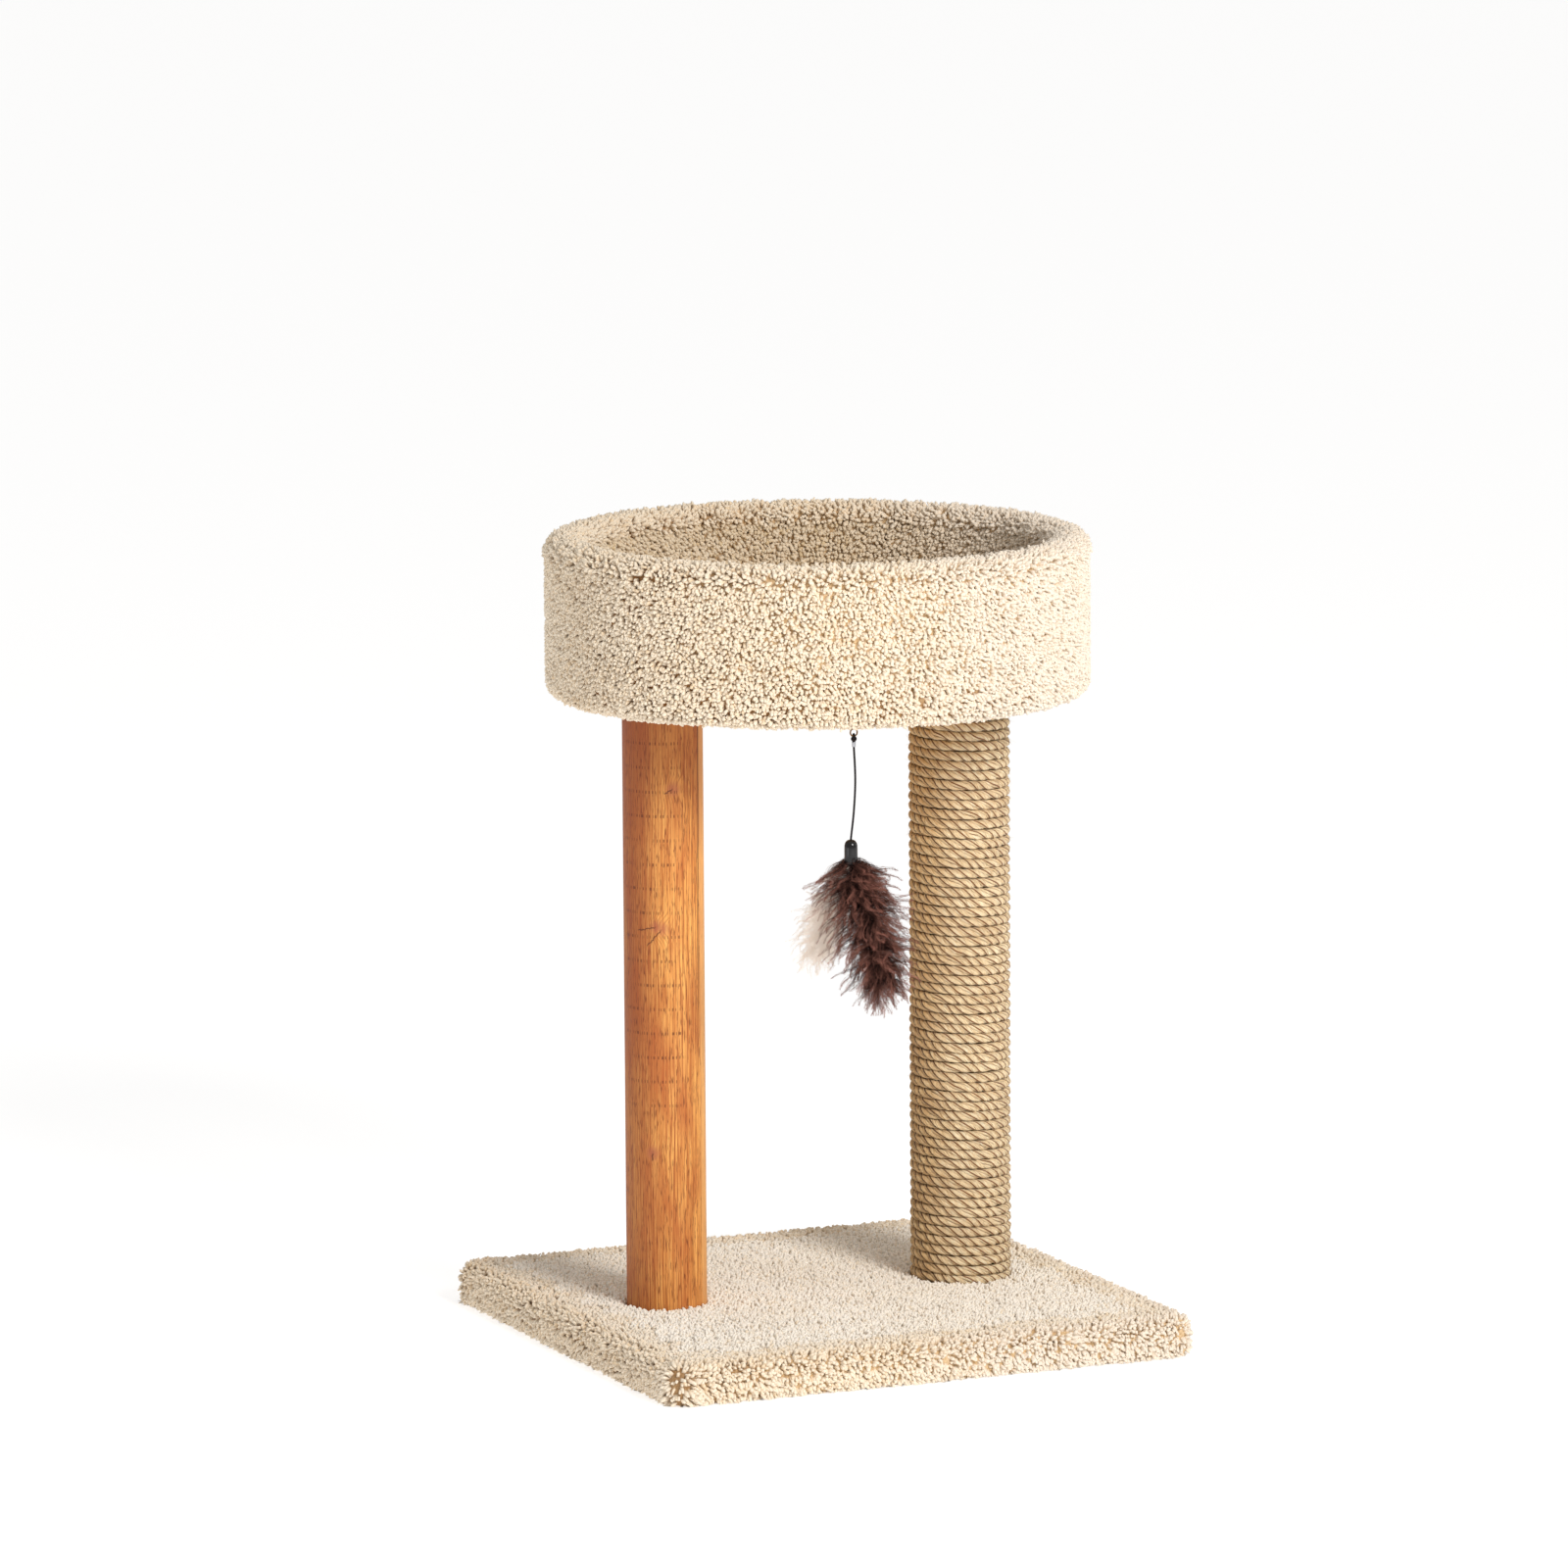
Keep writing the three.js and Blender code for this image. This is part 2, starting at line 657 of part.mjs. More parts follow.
const quillTop = capTop - capLength + quillInCap;
const brownFins = [
  { degrees: -85, reach: 42 },
  { degrees: -25, reach: 52 },
  { degrees: 35, reach: 46 },
  { degrees: 95, reach: 36 },
  { degrees: 205, reach: 44 },
];
const creamFins = [
  { degrees: 110, reach: 22 },
  { degrees: 160, reach: 30 },
  { degrees: 200, reach: 28 },
];
const lure = new THREE.Group();
lure.position.set(cordDrift.x, cordDrift.y, 0);
toy.add(lure);

addPiece(toy, "toy_screw_eye", makeScrewEye(), brass, [0, 0, eyeZ]);
addPiece(toy, "toy_cord_loop", makeCordLoop(), blackCord, [0, 0, knotZ]);
addPiece(toy, "toy_crimp", makeCrimp(), steel, [0, 0, crimpBottom]);
addPiece(toy, "toy_elastic_cord", makeElasticCord(), blackCord);
addPiece(lure, "toy_cap", makeCap(), blackPlastic, [0, 0, capTop]);

// The two quills sit side by side in the cap, and their plumes lean apart.
const brownPlume = makePlume(brownPlumeLength, quillInCap + 6, brownFins);
const brownPlace = [0.6, -1.8, quillTop];
const brownLean = [-0.09, -0.21, 0];
addPiece(lure, "toy_feather_brown", brownPlume, brownFeather, brownPlace, brownLean);
const creamPlume = makePlume(creamPlumeLength, quillInCap + 26, creamFins);
const creamPlace = [-0.4, 1.2, quillTop];
const creamLean = [0.16, 0.24, 0];
addPiece(lure, "toy_feather_cream", creamPlume, creamFeather, creamPlace, creamLean);

export default root;
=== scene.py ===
"""The looks of a cat tree: a carpeted base and bed, a wood post, a sisal post and a feather toy.

Everything is in metres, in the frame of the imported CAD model: +Z is up, -Y is the front, and +X runs
from the wood post to the sisal post. Pile, rope strands and plumes are real geometry, made in bulk
with numpy. Every random draw comes from a seeded generator, so each run gives the same model.
"""

import math

import bpy
import numpy as np
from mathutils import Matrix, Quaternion, Vector


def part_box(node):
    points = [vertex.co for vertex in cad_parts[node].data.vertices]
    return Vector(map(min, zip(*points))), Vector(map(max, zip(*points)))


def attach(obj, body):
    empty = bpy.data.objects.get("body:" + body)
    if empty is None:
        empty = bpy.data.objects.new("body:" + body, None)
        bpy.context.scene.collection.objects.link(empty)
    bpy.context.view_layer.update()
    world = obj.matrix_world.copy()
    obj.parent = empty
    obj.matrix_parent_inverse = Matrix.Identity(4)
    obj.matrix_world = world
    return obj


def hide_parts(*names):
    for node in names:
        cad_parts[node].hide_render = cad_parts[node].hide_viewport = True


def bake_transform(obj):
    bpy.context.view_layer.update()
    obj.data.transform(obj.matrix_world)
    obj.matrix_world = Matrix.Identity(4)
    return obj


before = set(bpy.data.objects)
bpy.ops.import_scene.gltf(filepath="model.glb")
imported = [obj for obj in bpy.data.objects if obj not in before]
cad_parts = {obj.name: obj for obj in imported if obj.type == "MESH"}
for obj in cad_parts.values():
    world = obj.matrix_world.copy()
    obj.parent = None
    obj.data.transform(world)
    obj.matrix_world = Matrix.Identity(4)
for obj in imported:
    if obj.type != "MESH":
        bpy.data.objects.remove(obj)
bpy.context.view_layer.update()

# ------------------------------------------------------------------ sizes read from the frame

board_low, board_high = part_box("base_board")
base_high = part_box("base_carpet")[1]
wood_low, wood_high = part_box("wood_post")
rope_low, rope_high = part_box("sisal_rope")
floor_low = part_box("bed_floor")[0]
hoop_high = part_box("bed_hoop")[1]
wall_low, wall_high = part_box("bed_wall_carpet")
disc_low, disc_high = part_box("bed_floor_carpet")
crimp_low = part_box("toy_crimp")[0]
cap_low, cap_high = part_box("toy_cap")

WOOD_X = (wood_low[0] + wood_high[0]) / 2
WOOD_RADIUS = (wood_high[0] - wood_low[0]) / 2
ROPE_X = 0.147
ROPE_OUTER_RADIUS = (rope_high[0] - rope_low[0]) / 2
HOOP_OUTER = hoop_high[0]
HOOP_THICKNESS = 0.006
HOOP_INNER = HOOP_OUTER - HOOP_THICKNESS
BED_OUTER = wall_high[0]
BED_INNER = disc_high[0]

BACKING = 0.0025  # thickness of the carpet's woven backing
TUFT_SPACING = 0.0027

# ------------------------------------------------------------------ camera, lights and floor

scene = bpy.context.scene
scene.view_settings.view_transform = "Standard"

CAMERA_PLACE = Vector((-3.6066, -8.1545, 1.9229))
CAMERA_AZIMUTH = 23.65  # degrees of turn from +Y towards +X
CAMERA_PITCH = -8.90
CAMERA_ROLL = -0.35
CAMERA_LENS = 218.6  # on a 36 mm sensor


def add_camera():
    data = bpy.data.cameras.new("camera")
    data.lens = CAMERA_LENS
    data.sensor_width = 36
    data.clip_end = 60
    camera = bpy.data.objects.new("camera", data)
    scene.collection.objects.link(camera)
    azimuth, pitch = math.radians(CAMERA_AZIMUTH), math.radians(CAMERA_PITCH)
    level = math.cos(pitch)
    forward = Vector((math.sin(azimuth) * level, math.cos(azimuth) * level, math.sin(pitch)))
    camera.location = CAMERA_PLACE
    camera.rotation_mode = "QUATERNION"
    roll = Quaternion((0, 0, 1), math.radians(CAMERA_ROLL))
    camera.rotation_quaternion = forward.to_track_quat("-Z", "Y") @ roll
    scene.camera = camera


def add_area_light(name, place, target, size, power, colour):
    data = bpy.data.lights.new(name, "AREA")
    data.shape = "DISK"
    data.size = size
    data.energy = power
    data.color = colour
    light = bpy.data.objects.new(name, data)
    scene.collection.objects.link(light)
    light.location = place
    light.rotation_mode = "QUATERNION"
    light.rotation_quaternion = (Vector(target) - Vector(place)).to_track_quat("-Z", "Y")


SKY_LIGHT = 0.485  # how brightly the white room lights the object
FLOOR_HALF = 40  # half the width of the floor's sheet
# (name, place, the point that it faces, size, watts, colour)
LIGHTS = (
    ("key", (0.6, -3.94, 2.6), (0, 0, 0.35), 1.5, 129, (1.0, 0.985, 0.965)),
    ("side_fill", (3.6, -1.0, 1.6), (0, 0, 0.4), 2.0, 7, (1, 1, 1)),
    ("left_glint", (-2.0, -0.6, 0.18), (-0.06, -0.2, 0.5), 0.6, 1.8, (1, 1, 1)),
)


def add_stage():
    world = bpy.data.worlds.new("studio")
    world.use_nodes = True
    tree = world.node_tree
    seen = tree.nodes["Background"]
    seen.inputs["Color"].default_value = (1, 1, 1, 1)
    lighting = tree.nodes.new("ShaderNodeBackground")
    lighting.inputs["Color"].default_value = (1.0, 0.99, 0.975, 1)
    lighting.inputs["Strength"].default_value = SKY_LIGHT
    choice = tree.nodes.new("ShaderNodeMixShader")
    ray = tree.nodes.new("ShaderNodeLightPath")
    tree.links.new(ray.outputs["Is Camera Ray"], choice.inputs[0])
    tree.links.new(lighting.outputs[0], choice.inputs[1])
    tree.links.new(seen.outputs[0], choice.inputs[2])
    tree.links.new(choice.outputs[0], tree.nodes["World Output"].inputs["Surface"])
    scene.world = world
    for light in LIGHTS:
        add_area_light(*light)
    mesh = bpy.data.meshes.new("floor")
    half = FLOOR_HALF
    corners = [(-half, -half, 0), (half, -half, 0), (half, half, 0), (-half, half, 0)]
    mesh.from_pydata(corners, [], [(0, 1, 2, 3)])
    floor = bpy.data.objects.new("floor", mesh)
    scene.collection.objects.link(floor)
    floor.location.z = -0.0005
    mesh.materials.append(floor_material())


# ------------------------------------------------------------------ materials

FRONT_RIGHT_X, FRONT_RIGHT_Y = 0.92, -0.40  # the direction towards the tree's better lit right, along which painted light and shade are laid


def rgb(red, green, blue):
    """A linear colour from 0-255 display values."""
    values = [c / 255 for c in (red, green, blue)]
    return tuple(c / 12.92 if c <= 0.04045 else ((c + 0.055) / 1.055) ** 2.4 for c in values) + (1.0,)


class Value:
    """A node's output, with plain arithmetic where it is a number."""

    def __init__(self, material, socket):
        self.material, self.socket = material, socket

    def math(self, operation, other=0.0, clamp=False):
        inputs = {0: self, 1: other}
        return self.material.node("Math", inputs, 0, operation=operation, use_clamp=clamp)

    def __add__(self, other):
        return self.math("ADD", other)

    def __sub__(self, other):
        return self.math("SUBTRACT", other)

    def __mul__(self, other):
        return self.math("MULTIPLY", other)

    def __truediv__(self, other):
        return self.math("DIVIDE", other)

    def __abs__(self):
        return self.math("ABSOLUTE")

    def fract(self):
        return self.math("FRACT")

    def larger(self, other):
        return self.math("MAXIMUM", other)

    def range(self, low, high, to_low=0.0, to_high=1.0, smooth=False):
        """This value carried over from low..high to to_low..to_high, and held at the ends."""
        inputs = {"Value": self, "From Min": low, "From Max": high, "To Min": to_low, "To Max": to_high}
        kind = "SMOOTHSTEP" if smooth else "LINEAR"
        return self.material.node("MapRange", inputs, "Result", interpolation_type=kind)


class Material:
    """A node material round one Principled shader, with short calls for its nodes."""

    def __init__(self, name, **sockets):
        self.block = bpy.data.materials.new(name)
        self.block.use_nodes = True
        self.tree = self.block.node_tree
        self.shader = self.tree.nodes["Principled BSDF"]
        for socket, value in sockets.items():
            self.set(socket.replace("_", " "), value)

    def feed(self, socket, value):
        if isinstance(value, Value):
            self.tree.links.new(value.socket, socket)
        else:
            socket.default_value = value

    def set(self, socket, value):
        self.feed(self.shader.inputs[socket], value)

    def node(self, kind, inputs, output, **settings):
        """One output of a new node."""
        node = self.tree.nodes.new("ShaderNode" + kind)
        for key, value in settings.items():
            setattr(node, key, value)
        for socket, value in inputs.items():
            self.feed(node.inputs[socket], value)
        return Value(self, node.outputs[output])

    def place(self):
        return self.node("TexCoord", {}, "Object")

    def layer(self, name):
        return self.node("Attribute", {}, "Fac", attribute_name=name)

    def vector(self, operation, a, b=(0, 0, 0), output="Vector"):
        return self.node("VectorMath", {0: a, 1: b}, output, operation=operation)

    def scaled(self, vector, scale):
        return self.vector("MULTIPLY", vector, scale)

    def combined(self, x, y, z):
        return self.node("CombineXYZ", {"X": x, "Y": y, "Z": z}, "Vector")

    def parts(self, vector):
        first = self.node("SeparateXYZ", {0: vector}, "X")
        return [Value(self, output) for output in first.socket.node.outputs]

    def noise(self, vector, scale, detail=2.0, roughness=0.5):
        inputs = {"Vector": vector, "Scale": scale, "Detail": detail, "Roughness": roughness}
        return self.node("TexNoise", inputs, "Fac")

    def mix(self, factor, a, b, blend="MIX"):
        return self.node("Mix", {0: factor, 6: a, 7: b}, 2, data_type="RGBA", blend_type=blend)

    def ramp(self, factor, *stops):
        colour = self.node("ValToRGB", {"Fac": factor}, "Color")
        elements = colour.socket.node.color_ramp.elements
        while len(elements) < len(stops):
            elements.new(0.5)
        for element, (position, tone) in zip(elements, stops):
            element.position = position
            element.color = tone
        return colour

    def bump(self, height, distance, strength=1.0):
        inputs = {"Height": height, "Distance": distance, "Strength": strength}
        self.set("Normal", self.node("Bump", inputs, "Normal"))


def floor_material():
    paper = Material("floor", Roughness=0.9, Base_Color=(0.7, 0.7, 0.7, 1))
    paper.set("Emission Color", (1, 1, 1, 1))
    paper.set("Emission Strength", 0.62)
    return paper.block


def front_right(material, low, high, centre_x=0.0, patchiness=0.0):
    """0 to 1 across the tree, from low to high metres towards the right of its front."""
    x, y, _ = material.parts(material.place())
    across = (x - centre_x) * FRONT_RIGHT_X + y * FRONT_RIGHT_Y
    patches = material.noise(material.place(), 9.0).range(0.0, 1.0, -patchiness, patchiness)
    return (across + patches).range(low, high, smooth=True)


def lit_side(carpet):
    """0 on the tree's shaded left and low on the bed, and 1 on its better lit right: where painted shade
    and painted light go on the carpet.
    """
    side = front_right(carpet, -0.24, 0.02, patchiness=0.1)
    height = carpet.parts(carpet.place())[2]
    # painted shade low on the bed's outside wall
    low_band = height.range(0.62, 0.68, 0.8, 0.0) * height.range(0.55, 0.56)
    return side.math("SUBTRACT", low_band, clamp=True)


def pile_material(name, tip, gold, shadow, painted_side_shading=True):
    """Cut pile: pale yarn ends, some yarns more golden than others, and painted shade that darkens each
    tuft towards the backing, where the tufts shade one another.
    Side shading adds painted shade that darkens the gaps on the tree's left and low on the bed, and painted
    light that makes the pile paler, with lighter gaps, on its right."""
    yarn = Material(name, Roughness=0.95, Specular_IOR_Level=0.12, Sheen_Weight=0.2, Sheen_Roughness=0.5)
    toned = yarn.ramp(yarn.layer("tint"), (0.0, gold), (0.4, tip), (1.0, tip))
    broad = yarn.noise(yarn.place(), 14.0, 3.0).range(0.35, 0.7)
    toned = yarn.mix(broad * 0.22, toned, gold)
    # painted shade: each tuft darkens from its tip towards the backing
    height = yarn.layer("height").range(0.4, 0.86, smooth=True)
    if painted_side_shading:
        # painted shade: darker, browner gaps on the tree's shaded left and low on the bed, and lighter ones
        # on its lit right
        open_shadow = (shadow[0] * 0.5, shadow[1] * 0.42, shadow[2] * 0.30, 1.0)
        shadow = yarn.mix(lit_side(yarn), open_shadow, yarn.mix(0.3, gold, tip))
        # painted light: paler pile on the tree's lit right
        painted_light_tone = yarn.mix(0.6, toned, rgb(240, 228, 214))
        toned = yarn.mix(front_right(yarn, 0.02, 0.2, patchiness=0.05), toned, painted_light_tone)
    yarn.set("Base Color", yarn.mix(height, shadow, toned))
    yarn.bump(yarn.noise(yarn.place(), 2600.0), 0.0003, 0.6)
    return yarn.block


def ground_material(name, shadow, light):
    """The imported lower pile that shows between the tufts, and the woven backing behind it."""
    ground = Material(name, Roughness=1.0, Specular_IOR_Level=0.1)
    speckle = ground.noise(ground.place(), 420.0, 3.0, 0.6)
    colour = ground.mix(speckle.range(0.35, 0.7), shadow, light)
    # painted shade: the ground is darker on the tree's shaded left and low on the bed
    painted_side_shading = ground.mix(1.0, colour, rgb(156, 120, 78), "MULTIPLY")
    ground.set("Base Color", ground.mix(lit_side(ground), painted_side_shading, colour))
    ground.bump(speckle, 0.0015, 0.9)
    return ground.block


# ------------------------------------------------------------------ mesh building


def add_mesh(name, points, material, quads, tris=(), cells=None, layers=None, body="root"):
    """A piece made of many copies of one small shape. points is (copies, corners, 3), and quads and tris
    index one copy's corners. cells is (quad corners' places, triangle corners' places) for a map in which
    each copy has a cell of its own. layers holds one value for each point."""
    points = np.asarray(points, np.float32)
    copies, corners = points.shape[:2]
    start = np.arange(copies, dtype=np.int32)[:, None, None] * corners
    columns = math.ceil(math.sqrt(copies))
    rows = math.ceil(copies / columns)
    cell = np.stack([np.arange(copies) % columns, np.arange(copies) // columns], -1)
    loops, counts, places = [], [], []
    for i, faces in enumerate((quads, tris)):
        if not len(faces):
            continue
        faces = np.asarray(faces, np.int32)
        loops.append((faces[None] + start).reshape(-1))
        counts.append(np.full(copies * len(faces), faces.shape[1], np.int32))
        if cells is not None:
            inside = 0.08 + 0.84 * np.asarray(cells[i], np.float32).reshape(1, -1, 2)
            places.append(((cell[:, None] + inside) / [columns, rows]).reshape(-1, 2))
    loops, counts = np.concatenate(loops), np.concatenate(counts)
    mesh = bpy.data.meshes.new(name)
    mesh.vertices.add(copies * corners)
    mesh.vertices.foreach_set("co", points.ravel())
    mesh.loops.add(len(loops))
    mesh.loops.foreach_set("vertex_index", loops)
    mesh.polygons.add(len(counts))
    mesh.polygons.foreach_set("loop_start", np.concatenate([[0], np.cumsum(counts)[:-1]]).astype(np.int32))
    mesh.update(calc_edges=True)
    mesh.shade_smooth()
    if cells is not None:
        uv = mesh.uv_layers.new(name="OFBake")
        uv.data.foreach_set("uv", np.concatenate(places).astype(np.float32).ravel())
    for layer, values in (layers or {}).items():
        attribute = mesh.attributes.new(layer, "FLOAT", "POINT")
        attribute.data.foreach_set("value", np.asarray(values, np.float32).ravel())
    mesh.materials.append(material)
    piece = bpy.data.objects.new(name, mesh)
    scene.collection.objects.link(piece)
    if body is not None:
        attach(piece, body)
    return piece


def angles(count):
    """Even angles round a circle."""
    return np.arange(count) * 2 * math.pi / count


def unit(vectors):
    return vectors / np.maximum(np.linalg.norm(vectors, axis=-1, keepdims=True), 1e-12)


def waves(points, size, seed, count=7):
    """A smooth random value from -1 to 1 at each point, which changes over about size."""
    rng = np.random.default_rng(seed)
    total = np.zeros(points.shape[:-1])
    for _ in range(count):
        direction = rng.normal(size=points.shape[-1])
        direction *= 2 * math.pi / size / np.linalg.norm(direction) * rng.uniform(0.6, 1.5)
        total += np.sin(points @ direction + rng.uniform(0, 2 * math.pi))
    return np.clip(total / math.sqrt(count / 2) / 1.7, -1, 1)


def ring_quads(rows, around, closed=False):
    """The quads of a tube of rows rings, each with around points."""
    steps = rows if closed else rows - 1
    row, side = np.meshgrid(np.arange(steps), np.arange(around), indexing="ij")
    after, beside = (row + 1) % rows, (side + 1) % around
    corners = [row * around + side, row * around + beside, after * around + beside, after * around + side]
    return np.stack(corners, -1).reshape(-1, 4)


def end_tris(rows, sides):
    """The triangles that close both ends of a tube, whose two centre points come after its rings."""
    last, centre = (rows - 1) * sides, rows * sides
    tris = []
    for i in range(sides):
        following = (i + 1) % sides
        tris.append((following, i, centre))
        tris.append((last + i, last + following, centre + 1))
    return tris


# ------------------------------------------------------------------ carpet

TUFT_SIDES = 4
TUFT_RINGS = ((0.40, 0.80), (0.76, 1.0), (0.93, 0.76))  # (share of the height, share of the radius)
TUFT_RADIUS = 0.00212
TOP_SPACING = 0.0026  # on the base's top, where the pile is closer
TOP_TUFT_RADIUS = 0.0019
BORDER_WIDTH = 0.026  # round the base's top, where its pile is looser
BORDER_SHARE = 0.72  # of the places for tufts there that have one
CLEARANCE = 0.0004  # between the pile and a post
PARTING_PUSH, PARTING_REACH = 2.4, 0.011  # how strongly and how far a parting leans the pile
TUFT_TWIST = 1.4  # radians over a tuft's height
PACKED_SHARE = 0.62  # of the pile's depth that is packed too close to see between its yarns
LOWEST_PILE, LOWEST_BACKING = 0.0006, 0.0004  # how close to the floor they come
CARPET_BEND = 0.005  # radius of the backing round an edge
BASE_HEM = 0.04  # width of the base carpet's hem under the board
HOLE_SIDES = 72


def scatter(width, height, spacing, rng):
    """Shares (across, up) of places in loose hexagonal rows over a rectangle."""
    rows = max(1, round(height / (spacing * 0.87)))
    columns = max(1, round(width / spacing))
    u, v = np.meshgrid(np.arange(columns), np.arange(rows))
    across = (u + 0.5 * (v % 2) + 0.25) / columns
    up = (v + 0.5) / rows
    across += rng.uniform(-0.22, 0.22, u.shape) / columns
    up += rng.uniform(-0.22, 0.22, u.shape) / rows
    return (across % 1).ravel(), up.ravel()


def add_tufts(
    name,
    roots,
    normals,
    lengths,
    material,
    rng,
    radius=TUFT_RADIUS,
    lean=0.11,
    droop=0.0,
    partings=(),
    keep_off=(),
):
    """Cut-pile tufts that stand on roots. Each is a soft four-sided yarn end that leans and curls.
    They lean away from partings, which are upright lines, and stay out of the posts in keep_off."""
    count = len(roots)
    drift = np.stack([waves(roots, 0.040, seed) for seed in (11, 12, 13)], -1) * 0.5
    drift += np.stack([waves(roots, 0.009, seed) for seed in (14, 15, 16)], -1) * 0.55
    drift += rng.normal(size=(count, 3)) * 0.55 - [0, 0, droop]
    for line in partings:
        offset = roots[:, :2] - line
        distance = np.linalg.norm(offset, axis=-1, keepdims=True)
        push = PARTING_PUSH * np.exp(-distance / PARTING_REACH)
        drift[:, :2] += offset / np.maximum(distance, 1e-6) * push
    drift -= (drift * normals).sum(-1, keepdims=True) * normals
    uneven = 0.06 * waves(roots, 0.03, 17) + 0.07 * waves(roots, 0.010, 18) + rng.normal(0, 0.11, count)
    lengths = lengths * (1 + np.clip(uneven, -0.32, 0.14))
    side = unit(np.cross(normals, rng.normal(size=(count, 3))))
    other = np.cross(normals, side)
    turn = rng.uniform(0, 2 * math.pi, count)
    curling = side * np.cos(turn)[:, None] + other * np.sin(turn)[:, None]
    widths = radius * rng.uniform(0.8, 1.25, count)
    flat = rng.uniform(0.8, 1.0, count)
    points = np.empty((count, len(TUFT_RINGS) * TUFT_SIDES + 1, 3))

    def middle(share):
        sideways = drift * lean * share**1.6 + curling * 0.1 * math.sin(share * 2.6)
        upright = normals * (share - 0.2 * lean * share**2)
        return roots + (upright + sideways) * lengths[:, None]

    for ring, (share, size) in enumerate(TUFT_RINGS):
        centre = middle(share)
        for corner, angle in enumerate(angles(TUFT_SIDES) + share * TUFT_TWIST):
            spread = side * (math.cos(angle) * flat)[:, None] + other * math.sin(angle)
            points[:, ring * TUFT_SIDES + corner] = centre + spread * (widths * size)[:, None]
    points[:, -1] = middle(1.0)
    points[:, :, 2] = np.maximum(points[:, :, 2], LOWEST_PILE)
    for centre, reach in keep_off:
        offset = points[:, :, :2] - centre
        distance = np.linalg.norm(offset, axis=-1, keepdims=True)
        points[:, :, :2] = centre + offset * np.maximum(distance, reach + CLEARANCE) / distance
    levels = [share for share, _ in TUFT_RINGS]
    heights = np.append(np.repeat(levels, TUFT_SIDES), 1.0)
    tint = np.repeat(rng.beta(2.0, 1.5, count)[:, None], points.shape[1], 1)
    layers = {"tint": tint, "height": np.repeat(heights[None], count, 0)}
    return add_spikes(name, points, levels, TUFT_SIDES, material, "root", layers)


def add_spikes(name, points, levels, sides, material, body, layers=None):
    """Many spikes as one piece. Each has a ring of points at each of its levels, and then its tip."""
    quads, quad_cells, tris, tri_cells = [], [], [], []
    for corner in range(sides):
        following = (corner + 1) % sides
        left, right = corner / sides, (corner + 1) / sides
        for ring, (bottom, top) in enumerate(zip(levels[:-1], levels[1:])):
            low, high = ring * sides, (ring + 1) * sides
            quads.append((low + corner, low + following, high + following, high + corner))
            quad_cells.append(((left, bottom), (right, bottom), (right, top), (left, top)))
        low = (len(levels) - 1) * sides
        tris.append((low + corner, low + following, low + sides))
        tri_cells.append(((left, levels[-1]), (right, levels[-1]), ((left + right) / 2, 1.0)))
    return add_mesh(name, points, material, quads, tris, (quad_cells, tri_cells), layers, body)


class Line:
    """A straight part of a carpet's section, with the pile's depth at its start and end."""

    def __init__(self, start, end, pile):
        self.start, self.end, self.pile = np.array(start, float), np.array(end, float), pile
        self.length = np.linalg.norm(self.end - self.start)
        self.breadth = self.length
        along = (self.end - self.start) / self.length
        self.normal = np.array([along[1], -along[0]])

    def at(self, share):
        share = share[:, None]
        return self.start + (self.end - self.start) * share, np.repeat(self.normal[None], len(share), 0)


class Arc:
    """A bend in a carpet's section. breadth is its length halfway up the pile."""

    def __init__(self, centre, radius, first, last, pile):
        self.centre, self.radius, self.pile = np.array(centre, float), radius, pile
        self.first, self.last = math.radians(first), math.radians(last)
        turn = abs(self.last - self.first)
        self.length = turn * radius
        self.breadth = turn * (radius + 0.5 * (pile[0] + pile[1]) / 2)

    def at(self, share):
        angle = self.first + (self.last - self.first) * share
        normal = np.stack([np.cos(angle), np.sin(angle)], -1)
        return self.centre + normal * self.radius, normal


def depth_at(part, share):
    return part.pile[0] + (part.pile[1] - part.pile[0]) * share


def section_rows(parts, step):
    """Places, outward directions and pile depths along a whole section, at most step apart."""
    rows = []
    for number, part in enumerate(parts):
        share = np.linspace(0, 1, max(3, math.ceil(part.length / step) + 1))[1 if number else 0 :]
        place, normal = part.at(share)
        rows.append(np.column_stack([place, normal, depth_at(part, share)]))
    return np.concatenate(rows)


def add_ground(name, backs, outs, depths, seed):
    """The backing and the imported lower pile, as one closed sheet. backs is (turns, steps, 3)."""
    lumps = 1 + 0.15 * waves(backs, 0.011, seed)
    inner = backs - outs * BACKING * 0.8
    outer = backs + outs * (depths * PACKED_SHARE * lumps)[..., None]
    around = np.concatenate([outer, inner[:, ::-1]], 1)
    around[..., 2] = np.maximum(around[..., 2], LOWEST_BACKING)
    quads = ring_quads(around.shape[0], around.shape[1], closed=True)
    return add_mesh(name, around.reshape(1, -1, 3), ground, quads)


class RoundPlan:
    """The plan of the bed: a section's (reach, height) is turned about the Z axis."""

    def __init__(self, radius):
        self.length = 2 * math.pi * radius

    def turns(self):
        return np.linspace(0, 1, 420, endpoint=False)

    def lift(self, flat, share):
        angle = share * 2 * math.pi
        reach, height = flat[..., 0], flat[..., 1]
        return np.stack([reach * np.cos(angle), reach * np.sin(angle), height + 0 * angle], -1)

    direct = lift  # an outward direction is turned in the same way as a place


